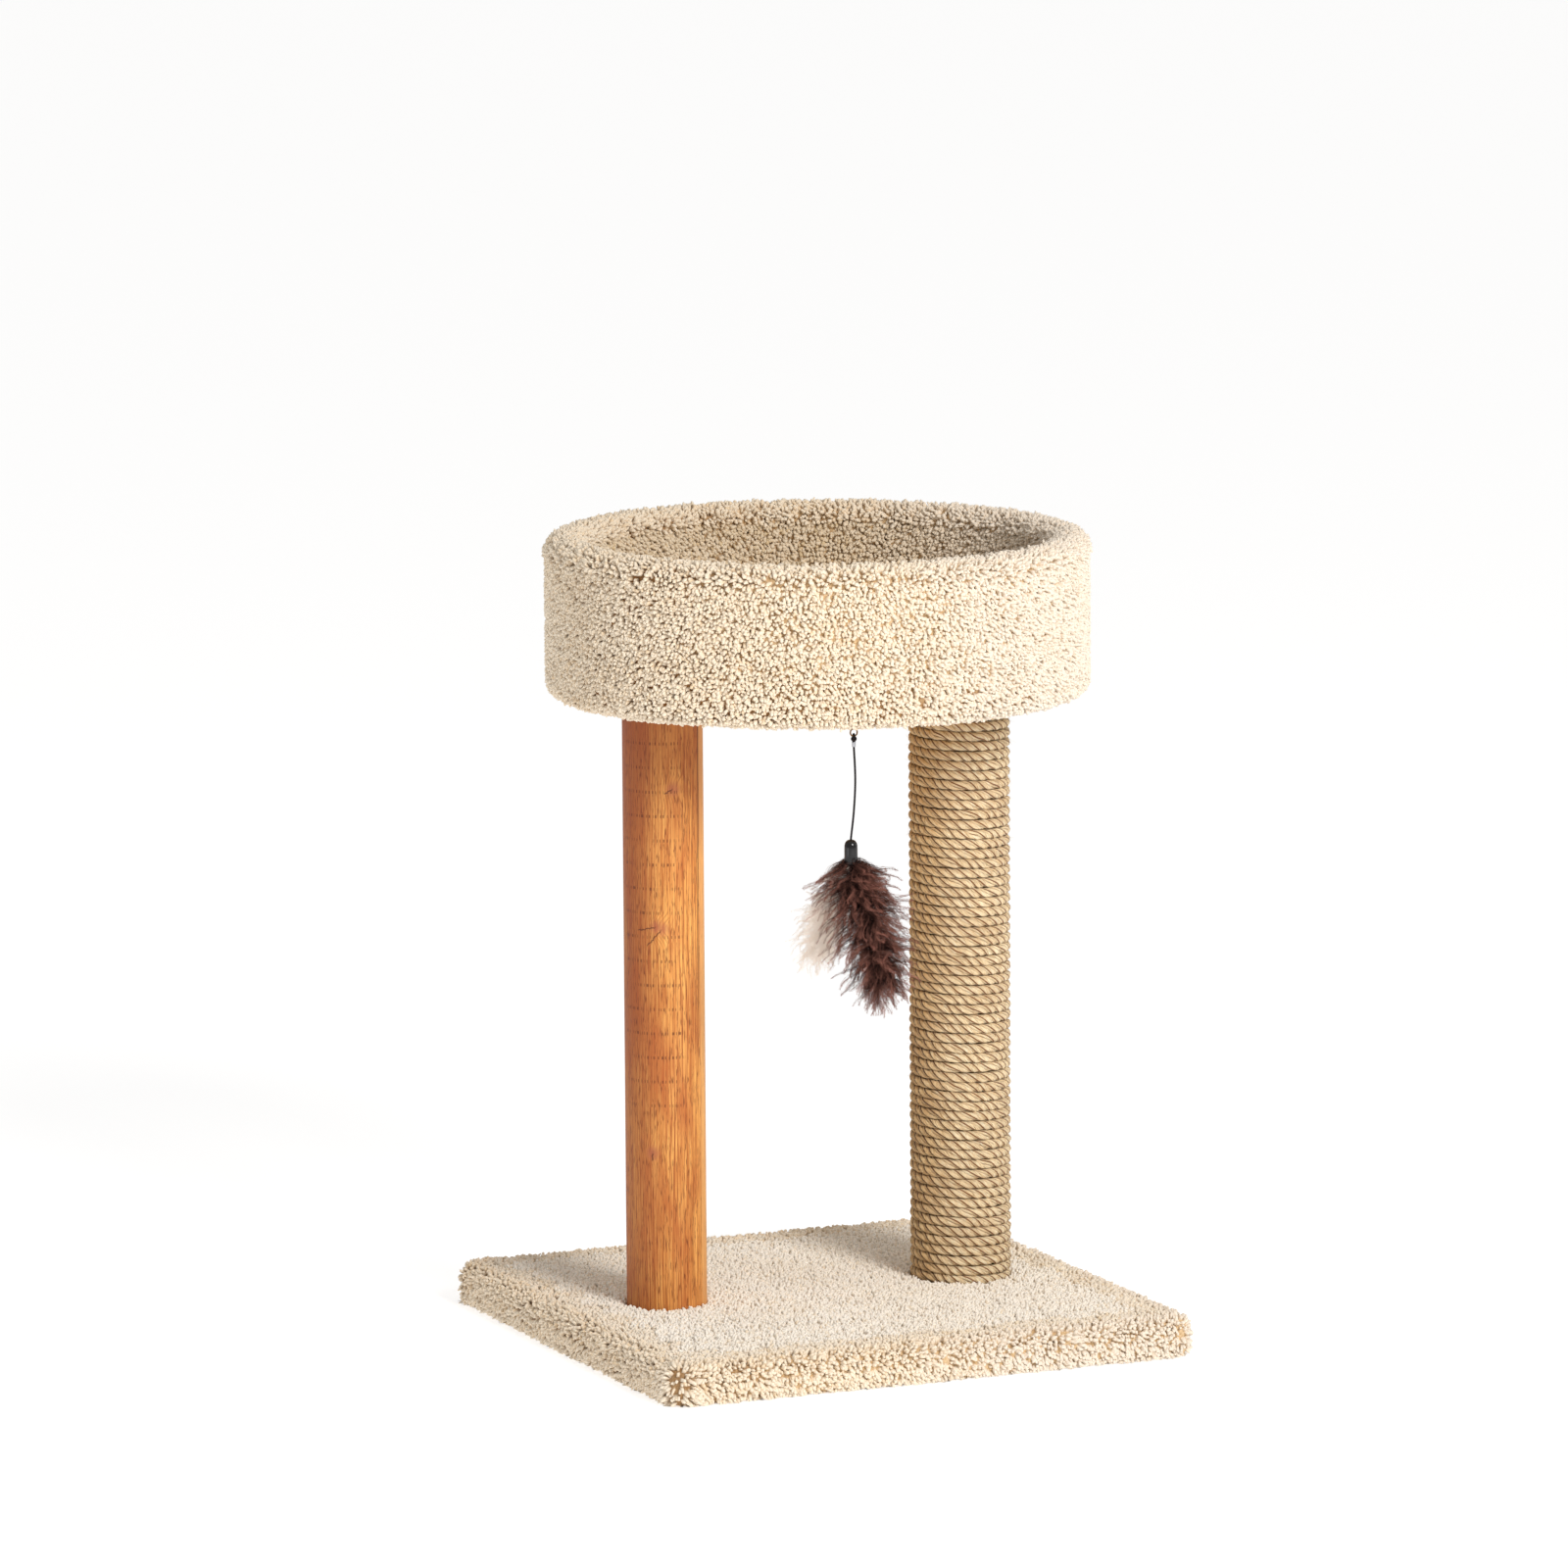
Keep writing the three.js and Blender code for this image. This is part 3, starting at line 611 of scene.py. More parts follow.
class SquarePlan:
    """The plan of the base: a section's reach is measured outward from a square with tight corners."""

    def __init__(self, half, corner, pile):
        self.half, self.corner = half, corner
        side, turn = 2 * (half - corner), math.pi / 2 * (corner + 0.5 * pile)
        self.steps = np.cumsum([0] + [side, turn] * 4)
        self.length = self.steps[-1]

    def turns(self):
        shares = []
        for first, last, count in zip(self.steps[:-1], self.steps[1:], (100, 10) * 4):
            shares.append(np.linspace(first, last, count, endpoint=False))
        return np.concatenate(shares) / self.length

    def outline(self, share):
        """Places on the square and its outward directions."""
        distance = (share % 1) * self.length
        part = np.clip(np.searchsorted(self.steps, distance, side="right") - 1, 0, 7)
        along = (distance - self.steps[part]) / (self.steps[part + 1] - self.steps[part])
        quarter = (part // 2) * (math.pi / 2)
        straight = part % 2 == 0
        flat = self.half - self.corner
        angle = np.where(straight, 0, along * math.pi / 2) - math.pi / 2
        local_x = np.where(straight, flat * (2 * along - 1), flat + self.corner * np.cos(angle))
        local_y = np.where(straight, -self.half, -flat + self.corner * np.sin(angle))
        cos, sin = np.cos(quarter), np.sin(quarter)
        place = np.stack([local_x * cos - local_y * sin, local_x * sin + local_y * cos], -1)
        out = np.stack([np.cos(angle + quarter), np.sin(angle + quarter)], -1)
        return place, out

    def lift(self, flat, share):
        place, out = self.outline(share)
        reach, height = flat[..., 0], flat[..., 1] + 0 * share
        inward = np.clip(1 + reach / self.half, 0, 1)[..., None]
        outward = np.maximum(reach, 0)[..., None]
        return np.concatenate([place * inward + out * outward, height[..., None]], -1)

    def direct(self, flat, share):
        out = self.outline(share)[1]
        return np.concatenate([out * flat[..., 0:1], (flat[..., 1] + 0 * share)[..., None]], -1)


def roots_on(plan, parts, spacing, rng):
    """Tuft roots, normals and pile depths over some parts of a section that is swept round a plan."""
    found = []
    for part in parts:
        share, up = scatter(plan.length, part.breadth, spacing, rng)
        place, normal = part.at(up)
        found.append((plan.lift(place, share), plan.direct(normal, share), depth_at(part, up)))
    return [np.concatenate(rows) for rows in zip(*found)]


def swept_ground(name, plan, parts, seed):
    """The ground under all parts of a section that is swept round a plan."""
    rows = section_rows(parts, 0.004)
    share = plan.turns()[:, None]
    backs = plan.lift(rows[None, :, 0:2], share)
    outs = plan.direct(rows[None, :, 2:4], share)
    depths = np.repeat(rows[None, :, 4], len(share), 0)
    return add_ground(name, backs, outs, depths, seed)


bed_pile = pile_material("bed_pile", rgb(246, 231, 209), rgb(238, 213, 178), rgb(220, 186, 136))
# painted shade: a darker copy of the bed's pile for its inside wall and floor, which lie in shade
bed_shaded_inner_pile = pile_material(
    "bed_shaded_inner_pile", rgb(234, 217, 192), rgb(220, 194, 152), rgb(188, 156, 108)
)
border_pile = pile_material(
    "border_pile", rgb(250, 238, 220), rgb(240, 219, 187), rgb(200, 166, 122), painted_side_shading=False
)
base_pile = pile_material(
    "base_pile", rgb(255, 248, 237), rgb(246, 230, 206), rgb(196, 166, 126), painted_side_shading=False
)
ground = ground_material("carpet_ground", rgb(200, 166, 122), rgb(232, 206, 168))

POSTS = (((WOOD_X, 0), WOOD_RADIUS), ((ROPE_X, 0), ROPE_OUTER_RADIUS))


def add_bed_wall_carpet():
    """From the hem turned under the bed floor, up the outside of the hoop, over its rim and down inside."""
    outer, inner = HOOP_OUTER + BACKING, HOOP_INNER - BACKING
    under, top = floor_low[2] - BACKING, hoop_high[2] + BACKING
    bend, rim = CARPET_BEND, (outer - inner) / 2
    outer_pile, inner_pile = BED_OUTER - outer, inner - BED_INNER
    under_pile, rim_pile = under - wall_low[2], wall_high[2] - top
    rim_height, seat = top - rim, disc_low[2] + 0.002
    rim_centre = ((outer + inner) / 2, rim_height)
    hem = Line((0.207, under), (outer - bend, under), (under_pile, under_pile))
    fold = Arc((outer - bend, under + bend), bend, -90, 0, (under_pile, outer_pile))
    outside = Line((outer, under + bend), (outer, rim_height), (outer_pile, outer_pile))
    rim_out = Arc(rim_centre, rim, 0, 90, (outer_pile, rim_pile))
    rim_in = Arc(rim_centre, rim, 90, 180, (rim_pile, inner_pile))
    inside = Line((inner, rim_height), (inner, seat), (inner_pile, inner_pile))
    parts = [hem, fold, outside, rim_out, rim_in, inside]
    plan = RoundPlan(HOOP_OUTER + 0.008)
    backing = swept_ground("bed_wall_backing", plan, parts, 31)
    rng = np.random.default_rng(21)
    for name, group, material, height, lean, droop in (
        ("hem", [hem, fold], bed_pile, 1.0, 0.2, 0.7),
        ("outside", [outside], bed_pile, 1.0, 0.2, 0.7),
        ("rim", [rim_out, rim_in], bed_pile, 1.15, 0.28, 0.0),
        ("inside", [inside], bed_shaded_inner_pile, 1.0, 0.2, 0.7),
    ):
        roots, normals, depths = roots_on(plan, group, TUFT_SPACING, rng)
        piece = f"bed_wall_pile_{name}"
        add_tufts(piece, roots, normals, depths * height, material, rng, lean=lean, droop=droop)
    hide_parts("bed_wall_carpet")


def square_roots(half, height, spacing, rng):
    """Tuft roots in loose rows over a flat square round the Z axis."""
    across, up = scatter(2 * half, 2 * half, spacing, rng)
    spots = (np.stack([across, up], -1) * 2 - 1) * half
    return np.column_stack([spots, np.full(len(spots), height)])


def add_flat_tufts(name, roots, depth, material, rng, **style):
    normals = np.tile([0.0, 0.0, 1.0], (len(roots), 1))
    return add_tufts(name, roots, normals, np.full(len(roots), depth), material, rng, **style)


def add_bed_floor_carpet():
    radius = disc_high[0]
    low = disc_low[2] + BACKING
    depth = disc_high[2] - low
    disc = Line((radius - 0.001, low), (0.003, low), (depth, depth))
    backing = swept_ground("bed_floor_backing", RoundPlan(radius), [disc], 32)
    rng = np.random.default_rng(22)
    roots = square_roots(radius, low, TUFT_SPACING, rng)
    roots = roots[np.linalg.norm(roots[:, :2], axis=1) < radius - 0.001]
    tufts = add_flat_tufts("bed_floor_pile", roots, depth, bed_shaded_inner_pile, rng)
    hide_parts("bed_floor_carpet")


def add_base_carpet():
    """Over the base board, down its sides and under its edge, with round holes for the posts."""
    half = board_high[0] + BACKING
    top, bottom = board_high[2] + BACKING, board_low[2] - BACKING
    top_pile, side_pile = base_high[2] - top, base_high[1] - half
    bend, under_bend = CARPET_BEND, 0.003
    flat = half - bend
    plan = SquarePlan(flat, 0.001, side_pile)
    cap = Line((-flat * 0.995, top), (0, top), (top_pile, top_pile))
    cap.normal = np.array([0.0, 1.0])
    edge = Arc((0, top - bend), bend, 90, 0, (top_pile, side_pile))
    side = Line((bend, top - bend), (bend, bottom + under_bend), (side_pile, side_pile))
    side.normal = np.array([1.0, 0.0])
    fold = Arc((bend - under_bend, bottom + under_bend), under_bend, 0, -90, (side_pile, 0.006))
    hem = Line((0, bottom), (-BASE_HEM, bottom), (0.0028, 0.0028))
    hem.normal = np.array([0.0, -1.0])
    backing = swept_ground("base_carpet_backing", plan, [cap, edge, side, fold, hem], 33)
    cut_holes(backing, POSTS, bottom - 0.01, base_high[2] + 0.01)
    rng = np.random.default_rng(23)
    roots = square_roots(flat, top, TOP_SPACING, rng)
    clear = np.ones(len(roots), bool)
    for centre, reach in POSTS:
        clear &= np.linalg.norm(roots[:, :2] - centre, axis=1) > reach + 0.0022
    roots = roots[clear]
    inset = flat - np.abs(roots[:, :2]).max(-1) + 0.01 * waves(roots[:, :2], 0.05, 34)
    border = inset < BORDER_WIDTH
    kept = ~border | (rng.random(len(roots)) < BORDER_SHARE)
    corners = [(x * half, y * half) for x in (-1, 1) for y in (-1, 1)]
    for name, chosen, material, radius, lean in (
        ("middle", ~border, base_pile, TOP_TUFT_RADIUS, 0.17),
        ("border", border & kept, border_pile, TUFT_RADIUS, 0.34),
    ):
        style = {"radius": radius, "lean": lean, "partings": corners, "keep_off": POSTS}
        piece = f"base_pile_{name}"
        add_flat_tufts(piece, roots[chosen], top_pile, material, rng, **style)
    for name, group, lean, droop in (("edge", [edge], 0.24, 0.3), ("side", [side, fold], 0.3, 0.9)):
        roots, normals, depths = roots_on(plan, group, TUFT_SPACING, rng)
        style = {"lean": lean, "droop": droop, "partings": corners}
        piece = f"base_pile_{name}"
        add_tufts(piece, roots, normals, depths, bed_pile, rng, **style)
    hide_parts("base_carpet")


def cut_holes(piece, holes, low, high):
    """Cuts round upright holes, each a (centre, radius), through a piece."""
    angle = angles(HOLE_SIDES)
    for number, (centre, radius) in enumerate(holes):
        ring = np.column_stack([np.cos(angle), np.sin(angle)]) * (radius + CLEARANCE) + centre
        points = np.concatenate([np.column_stack([ring, np.full(HOLE_SIDES, z)]) for z in (low, high)])
        sides = ring_quads(2, HOLE_SIDES).tolist()
        lid, mouth = list(range(HOLE_SIDES, 2 * HOLE_SIDES)), list(range(HOLE_SIDES - 1, -1, -1))
        mesh = bpy.data.meshes.new("cutter")
        mesh.from_pydata(points.tolist(), [], [*sides, mouth, lid])
        cutter = bpy.data.objects.new("cutter", mesh)
        scene.collection.objects.link(cutter)
        modifier = piece.modifiers.new(f"hole_{number}", "BOOLEAN")
        modifier.operation = "DIFFERENCE"
        modifier.object = cutter
        view = bpy.context.evaluated_depsgraph_get()
        cut = bpy.data.meshes.new_from_object(piece.evaluated_get(view))
        piece.modifiers.remove(modifier)
        piece.data = cut
        bpy.data.objects.remove(cutter)
        bpy.data.meshes.remove(mesh)


# ------------------------------------------------------------------ sisal rope

ROPE_DIAMETER = 0.0091
ROPE_LINE_RADIUS = 0.0438
ROPE_PITCH = 0.0094
ROPE_TURNS = 62.8
ROPE_LAY = 0.034  # length in which a strand goes once round the rope
STRAND_ORBIT = 0.0024  # from the rope's centreline to a strand's
STRAND_RADIUS = 0.0025
STRAND_FLATTENING = 1.22  # a strand's width over its height, where its neighbours press on it
STRAND_SIDES = 8
STEPS_PER_LAY = 14
STRAY_FIBRES = 2600
FIBRE_RINGS, FIBRE_RADIUS = 3, 0.00013


def rope_line(distance):
    """Places on the rope's centreline, with its outward and its upward directions."""
    turn = 2 * math.pi * ROPE_LINE_RADIUS
    share = distance / math.hypot(turn, ROPE_PITCH)
    angle = -2 * math.pi * share
    out = np.stack([np.cos(angle), np.sin(angle), np.zeros_like(angle)], -1)
    start = (wood_low[2] + wood_high[2] - ROPE_TURNS * ROPE_PITCH) / 2
    height = start + ROPE_PITCH * share + 0.0003 * waves(distance[:, None], 0.11, 45)
    place = out * ROPE_LINE_RADIUS + np.stack([np.full_like(angle, ROPE_X), angle * 0, height], -1)
    sideways = np.stack([np.sin(angle) * turn, -np.cos(angle) * turn, np.full_like(angle, ROPE_PITCH)], -1)
    up = unit(np.cross(unit(sideways), out))
    return place, out, up


def add_rope():
    length = ROPE_TURNS * math.hypot(2 * math.pi * ROPE_LINE_RADIUS, ROPE_PITCH)
    steps = round(length / ROPE_LAY * STEPS_PER_LAY)
    distance = np.linspace(0, length, steps)
    place, out, up = rope_line(distance)
    strands, along, around = [], [], []
    wander = waves(distance[:, None], 0.05, 41)
    for number in range(3):
        phase = 2 * math.pi * (distance / ROPE_LAY + number / 3) + 0.5 * wander
        away = out * np.cos(phase)[:, None] + up * np.sin(phase)[:, None]
        orbit = STRAND_ORBIT * (1 + 0.08 * waves(distance[:, None], 0.02, 42 + number))
        line = place + away * orbit[:, None]
        tangent = unit(np.gradient(line, axis=0))
        outward = unit(away - (away * tangent).sum(-1, keepdims=True) * tangent)
        beside = np.cross(tangent, outward)
        angle = angles(STRAND_SIDES)
        radius = STRAND_RADIUS * (1 + 0.08 * waves(distance[:, None], 0.009, 52 + number))
        spread = outward[:, None] * np.cos(angle)[:, None]
        spread = spread + beside[:, None] * (np.sin(angle) * STRAND_FLATTENING)[:, None]
        strands.append(line[:, None] + spread * radius[:, None, None])
        along.append(np.repeat(distance[:, None], STRAND_SIDES, 1) + number * 7.3)
        around.append(np.repeat(angle[None], steps, 0))
    points = np.stack(strands).reshape(3, -1, 3)
    quads = ring_quads(steps, STRAND_SIDES)
    layers = {"along": np.stack(along), "around": np.stack(around)}
    piece = add_mesh("sisal_rope_strands", points, sisal_material(), quads, layers=layers)
    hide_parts("sisal_rope")
    add_stray_fibres(length)


def sisal_material():
    """Twisted sisal: long fibres round each strand, straw to brown, with painted shade in the grooves
    between the strands and on the rope's left side.
    """
    sisal = Material("sisal", Roughness=0.8, Specular_IOR_Level=0.25, Sheen_Weight=0.15)
    angle, along = sisal.layer("around"), sisal.layer("along")
    twist = angle + along * -160.0
    across, beside = (twist.math(wave) * STRAND_RADIUS for wave in ("SINE", "COSINE"))
    grain = sisal.combined(along * 0.07, across, beside)
    fibre = sisal.noise(grain, 1500.0, 4.0, 0.75)
    colour = sisal.ramp(
        fibre,
        (0.34, rgb(122, 82, 40)),
        (0.43, rgb(240, 208, 160)),
        (0.56, rgb(253, 234, 194)),
        (0.70, rgb(255, 253, 238)),
    )
    broad = sisal.noise(sisal.scaled(sisal.place(), (1, 1, 3)), 16.0, 3.0)
    colour = sisal.mix(broad.range(0.4, 0.75, 0.0, 0.35), colour, rgb(190, 146, 94))
    # painted shade on each strand's inner side, where the strands press together in the grooves
    facing = angle.math("COSINE").range(-0.45, 0.3, smooth=True)
    # lit is 0 on the rope's shaded left and 1 on its lit right
    lit = front_right(sisal, -0.038, -0.002, ROPE_X, 0.012)
    groove_painted_shade = sisal.mix(1.0, colour, sisal.mix(lit, rgb(96, 52, 20), rgb(150, 98, 50)), "MULTIPLY")
    # painted shade: the rope's left side is dulled
    shaded_side_tone = sisal.mix(1.0, colour, rgb(232, 218, 196), "MULTIPLY")
    sisal.set("Base Color", sisal.mix(facing, groove_painted_shade, sisal.mix(lit, shaded_side_tone, colour)))
    sisal.bump(fibre, 0.0012, 1.0)
    return sisal.block


def add_stray_fibres(length):
    rng = np.random.default_rng(44)
    count = STRAY_FIBRES
    place, out, up = rope_line(rng.uniform(0.02, length - 0.02, count))
    forward = np.cross(up, out) * np.where(rng.random(count) < 0.5, -1, 1)[:, None]
    tilt = rng.uniform(-1.2, 1.2, count)[:, None]
    base = place + (out * np.cos(tilt) + up * np.sin(tilt)) * (ROPE_DIAMETER / 2 - 0.0006)
    rise = rng.uniform(0.05, 0.6, count)[:, None]
    path = unit(forward + out * rise + up * rng.normal(0, 0.35, (count, 1)))
    sizes = rng.uniform(0.003, 0.010, count)[:, None]
    bend = unit(rng.normal(size=(count, 3))) * 0.35 + out * 0.1
    side = unit(np.cross(path, rng.normal(size=(count, 3))))
    other = np.cross(path, side)
    levels = np.arange(FIBRE_RINGS) / FIBRE_RINGS
    points = np.empty((count, FIBRE_RINGS * 3 + 1, 3))
    for ring, share in enumerate(levels):
        centre = base + (path * share + bend * share**2) * sizes
        for corner, angle in enumerate(angles(3)):
            spread = side * math.cos(angle) + other * math.sin(angle)
            points[:, ring * 3 + corner] = centre + spread * FIBRE_RADIUS * (1 - 0.6 * share)
    points[:, -1] = base + (path + bend) * sizes
    add_spikes("sisal_stray_fibres", points, levels, 3, sisal_fibre_material(), "root")


def sisal_fibre_material():
    fibre = Material("sisal_fibre", Roughness=0.7)
    shade = fibre.noise(fibre.place(), 130.0)
    fibre.set("Base Color", fibre.ramp(shade, (0.3, rgb(190, 150, 98)), (0.7, rgb(240, 220, 180))))
    return fibre.block


# ------------------------------------------------------------------ stained wood post

PITH = (WOOD_X - 0.075, 0.05, 0)  # the tree's middle, which lies outside the post
RINGS_PER_METRE = 380.0
TOP_TICKS = 0.5812  # height of the highest row of the rounding machine's nicks
TICK_SPACING = 0.023
# (degrees round the post, height, half its length, slant in degrees) of each knot's split
KNOTS = (
    (-105.0, 0.536, 0.0052, 25),
    (-138.9, 0.405, 0.0108, 11),
    (-127.4, 0.3965, 0.0120, 47),
    (-132.2, 0.187, 0.0040, 80),
)


def add_wood_post():
    sides, chamfer = 128, 0.0012
    bottom, top = wood_low[2], wood_high[2]
    heights = np.concatenate([[bottom], np.linspace(bottom + chamfer, top - chamfer, 120), [top]])
    radii = np.full(len(heights), WOOD_RADIUS)
    radii[[0, -1]] -= chamfer
    angle = angles(sides)
    x = WOOD_X + radii[:, None] * np.cos(angle)
    y = radii[:, None] * np.sin(angle)
    around = np.stack([x, y, np.repeat(heights[:, None], sides, 1)], -1).reshape(-1, 3)
    shrink = 1 - 0.0022 * np.clip(waves(around, 0.11, 61), -1, 0)[:, None] ** 2
    around[:, :2] = (around[:, :2] - [WOOD_X, 0]) * shrink + [WOOD_X, 0]
    points = np.concatenate([around, [[WOOD_X, 0, bottom], [WOOD_X, 0, top]]])
    quads, tris = ring_quads(len(heights), sides), end_tris(len(heights), sides)
    piece = add_mesh("wood_post_turned", points[None], wood_material(), quads, tris)
    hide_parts("wood_post")


def wood_material():
    """Stained softwood: growth rings cut lengthwise, fine dark pores, knots, nicks and a drying crack, with
    painted shade on the post's left and at its top under the bed, and painted light on its right.
    """
    wood = Material("stained_wood", Specular_IOR_Level=0.35)
    place = wood.place()
    x, y, z = wood.parts(place)
    turn = y.math("ARCTAN2", x - WOOD_X)
    sway = wood.noise(wood.scaled(place, (14.0, 14.0, 2.4)), 1.0, 3.0)
    from_pith = wood.scaled(wood.vector("SUBTRACT", place, PITH), (1, 1, 0))
    distance = wood.vector("LENGTH", from_pith, output="Value") + sway * 0.022
    splits, halos = 0.0, 0.0
    for knot in KNOTS:
        split, halo, bulge = knot_masks(wood, turn, z, *knot)
        splits, halos = split.larger(splits), halo.larger(halos)
        distance = distance + bulge * 0.004
    ring = (distance * RINGS_PER_METRE).fract()
    late = ring.range(0.45, 0.85, smooth=True) * ring.range(0.85, 1.0, 1.0, 0.0)
    strong = wood.noise(wood.scaled(place, (70.0, 70.0, 5.0)), 1.0).range(0.35, 0.65, 0.1, 0.6)
    strong = strong * turn.range(-1.1, -0.8, 1.0, 0.15)
    streak = wood.noise(wood.scaled(place, (760.0, 760.0, 14.0)), 1.0, 3.0, 0.7)
    fine = wood.noise(wood.scaled(place, (1100.0, 1100.0, 90.0)), 1.0)
    blotch = wood.noise(wood.scaled(place, (40.0, 40.0, 12.0)), 1.0, 3.0)
    pores = fine.range(0.57, 0.66, 0.0, 0.8)
    # the post's left side, which gets painted shade
    left = turn.range(-2.55, -1.95, 1.0, 0.0).larger(turn.range(2.1, 2.9, smooth=True))
    # the post's right side beyond the crack, which gets painted light
    right = turn.range(-0.93, -0.86, 0.0, 0.5) * turn.range(0.2, 0.6, 1.0, 0.0)
    colour = wood.ramp(
        streak,
        (0.34, rgb(160, 86, 34)),
        (0.46, rgb(218, 144, 70)),
        (0.62, rgb(242, 178, 98)),
    )
    for share, stain in (
        (late * strong, rgb(140, 66, 28)),
        (blotch.range(0.42, 0.66, 0.0, 0.7), rgb(178, 90, 40)),
        # painted shade on the post's left side, stronger higher up
        (left * z.range(0.1, 0.6, 0.5, 0.8), rgb(150, 70, 30)),
        # painted shadow of the bed on the top of the post
        (z.range(0.48, 0.63, 0.0, 0.6), rgb(142, 70, 34)),
        (pores, rgb(112, 50, 20)),
        (halos * 0.6, rgb(166, 88, 66)),
        (splits * 0.8, rgb(84, 38, 20)),
        (tick_marks(wood, turn, z), rgb(92, 42, 18)),
        # painted light: a paler right side
        (right, rgb(248, 188, 116)),
        (long_crack(turn, z, sway), rgb(52, 20, 8)),
    ):
        colour = wood.mix(share, colour, stain)
    wood.set("Base Color", colour)
    wood.set("Roughness", streak.range(0.3, 0.7, 0.5, 0.66))
    wood.bump(streak - pores, 0.0006, 0.35)
    return wood.block


def knot_masks(wood, turn, z, angle, height, reach, slant):
    """A knot's thin slanted split, the reddish wood round it and the bulge it makes in the rings."""
    across = (turn - math.radians(angle)) * WOOD_RADIUS
    up = z - height
    cos, sin = math.cos(math.radians(slant)), math.sin(math.radians(slant))
    along = across * cos + up * sin
    beside = up * cos - across * sin
    ragged = wood.noise(wood.combined(along * 420.0, height, 0.0), 1.0)
    off = abs(beside + ragged.range(0.3, 0.7, -0.0008, 0.0008))
    inside = abs(along).range(reach * 0.7, reach, 1.0, 0.0)
    split = off.range(0.0003, 0.0009, 1.0, 0.0) * inside
    away = wood.vector("LENGTH", wood.combined(along - reach, beside, 0.0), output="Value")
    halo = away.range(0.001, 0.010, 1.0, 0.0, smooth=True)
    return split, halo, away.range(0.0, 0.020, 1.0, 0.0, smooth=True)


def long_crack(turn, z, sway):
    """The drying crack down the right side of the post, which wanders slightly, with its stain."""
    line = z.range(0.399, 0.585, -0.995, -0.925) + sway.range(0.3, 0.7, -0.03, 0.03)
    off = abs(turn - line)
    within = z.range(0.30, 0.42) * z.range(0.60, 0.61, 1.0, 0.0)
    stain = off.range(0.0, 0.05, 0.25, 0.0, smooth=True)
    return off.range(0.010, 0.020, 0.9, 0.0).larger(stain) * within


def tick_marks(wood, turn, z):
    """Rows of short upright nicks that the rounding machine leaves up the post."""
    around = turn * WOOD_RADIUS
    lowest = TOP_TICKS - 15.5 * TICK_SPACING  # half a step under a row
    rows = (z - lowest) / TICK_SPACING
    row = rows.math("FLOOR")
    band = abs(rows.fract() - 0.5).range(0.045, 0.075, 1.0, 0.0)
    jitter = wood.noise(wood.combined(around * 190.0, row, 5.0), 1.0, 1.0)
    phase = around * 290.0 + jitter * 2.2
    ticks = abs(phase.fract() - 0.5).range(0.10, 0.20, 1.0, 0.0)
    patches = wood.noise(wood.combined(around * 45.0, row * 0.7, 3.0), 1.0, 1.0).range(0.30, 0.50)
    inside = z.range(0.225, 0.24) * z.range(0.585, 0.60, 1.0, 0.0)
    return band * ticks * patches * inside * turn.range(-1.6, -1.4, 0.75, 0.0)


# ------------------------------------------------------------------ feather toy

TOY = np.array([-0.059, -0.215])
CAMERA_RIGHT = np.array([0.916, -0.401])  # level directions, as the camera sees the toy
AWAY = np.array([0.401, 0.916])
CORD_DIAMETER = 0.002
CORD_DRIFT = np.array([-0.0029, 0.0013])  # how far the cap hangs from under the eye
CAP_CENTRE = TOY + CORD_DRIFT
CORD_BOW = 0.0012
CRIMP_BOTTOM = crimp_low[2]
CORD_TOP = CRIMP_BOTTOM + 0.0036
CAP_TOP, CAP_BOTTOM = cap_high[2], cap_low[2]
CAP_RADIUS = (cap_high[0] - cap_low[0]) / 2
CORD_BOTTOM = CAP_TOP - 0.008
KNOT_HEIGHT, LOOP_HEIGHT = 0.6024, 0.6057  # of their middles
KNOT_STEPS = 72


def toy_point(across, height, depth=0.0):
    """A place by the toy: across and depth are as the camera sees it."""
    flat = TOY + CAMERA_RIGHT * across + AWAY * depth
    return (flat[0], flat[1], height)


def smooth_path(points, steps):
    """A Catmull-Rom curve through points."""
    points = np.array(points, float)
    padded = np.concatenate([2 * points[:1] - points[1:2], points, 2 * points[-1:] - points[-2:-1]])
    place = np.linspace(0, len(points) - 1, steps)
    first = np.minimum(place.astype(int), len(points) - 2)
    t = (place - first)[:, None]
    a, b, c, d = (padded[first + i] for i in range(4))
    return 0.5 * (2 * b + (c - a) * t + (2 * a - 5 * b + 4 * c - d) * t**2 + (3 * b - a - 3 * c + d) * t**3)


def tube_rings(path, radii, sides, closed=False):
    """The points and quads of a round tube along a path."""
    if closed:
        tangent = unit(np.roll(path, -1, 0) - np.roll(path, 1, 0))
    else:
        tangent = unit(np.gradient(path, axis=0))
    side = unit(np.cross(tangent, [0.3, 1.0, 0.1]))
    other = np.cross(tangent, side)
    angle = angles(sides)
    spread = side[:, None] * np.cos(angle)[:, None] + other[:, None] * np.sin(angle)[:, None]
    rings = (path[:, None] + spread * np.asarray(radii)[:, None, None]).reshape(-1, 3)
    return rings, ring_quads(len(path), sides, closed)


def add_tube(name, path, radii, sides, material, body):
    """A round tube along a path, with closed ends."""
    rings, quads = tube_rings(path, radii, sides)
    points = np.concatenate([rings, path[[0, -1]]])
    tris = end_tris(len(path), sides)
    return add_mesh(name, points[None], material, quads, tris, body=body)


def black_cord_material():
    cord = Material("black_cord", Roughness=0.7, Specular_IOR_Level=0.12)
    weave = cord.noise(cord.scaled(cord.place(), (1, 1, 0.6)), 3000.0, 1.0)
    cord.set("Base Color", cord.ramp(weave, (0.35, rgb(14, 11, 12)), (0.7, rgb(48, 42, 44))))
    cord.bump(weave, 0.0003, 0.7)
    return cord.block


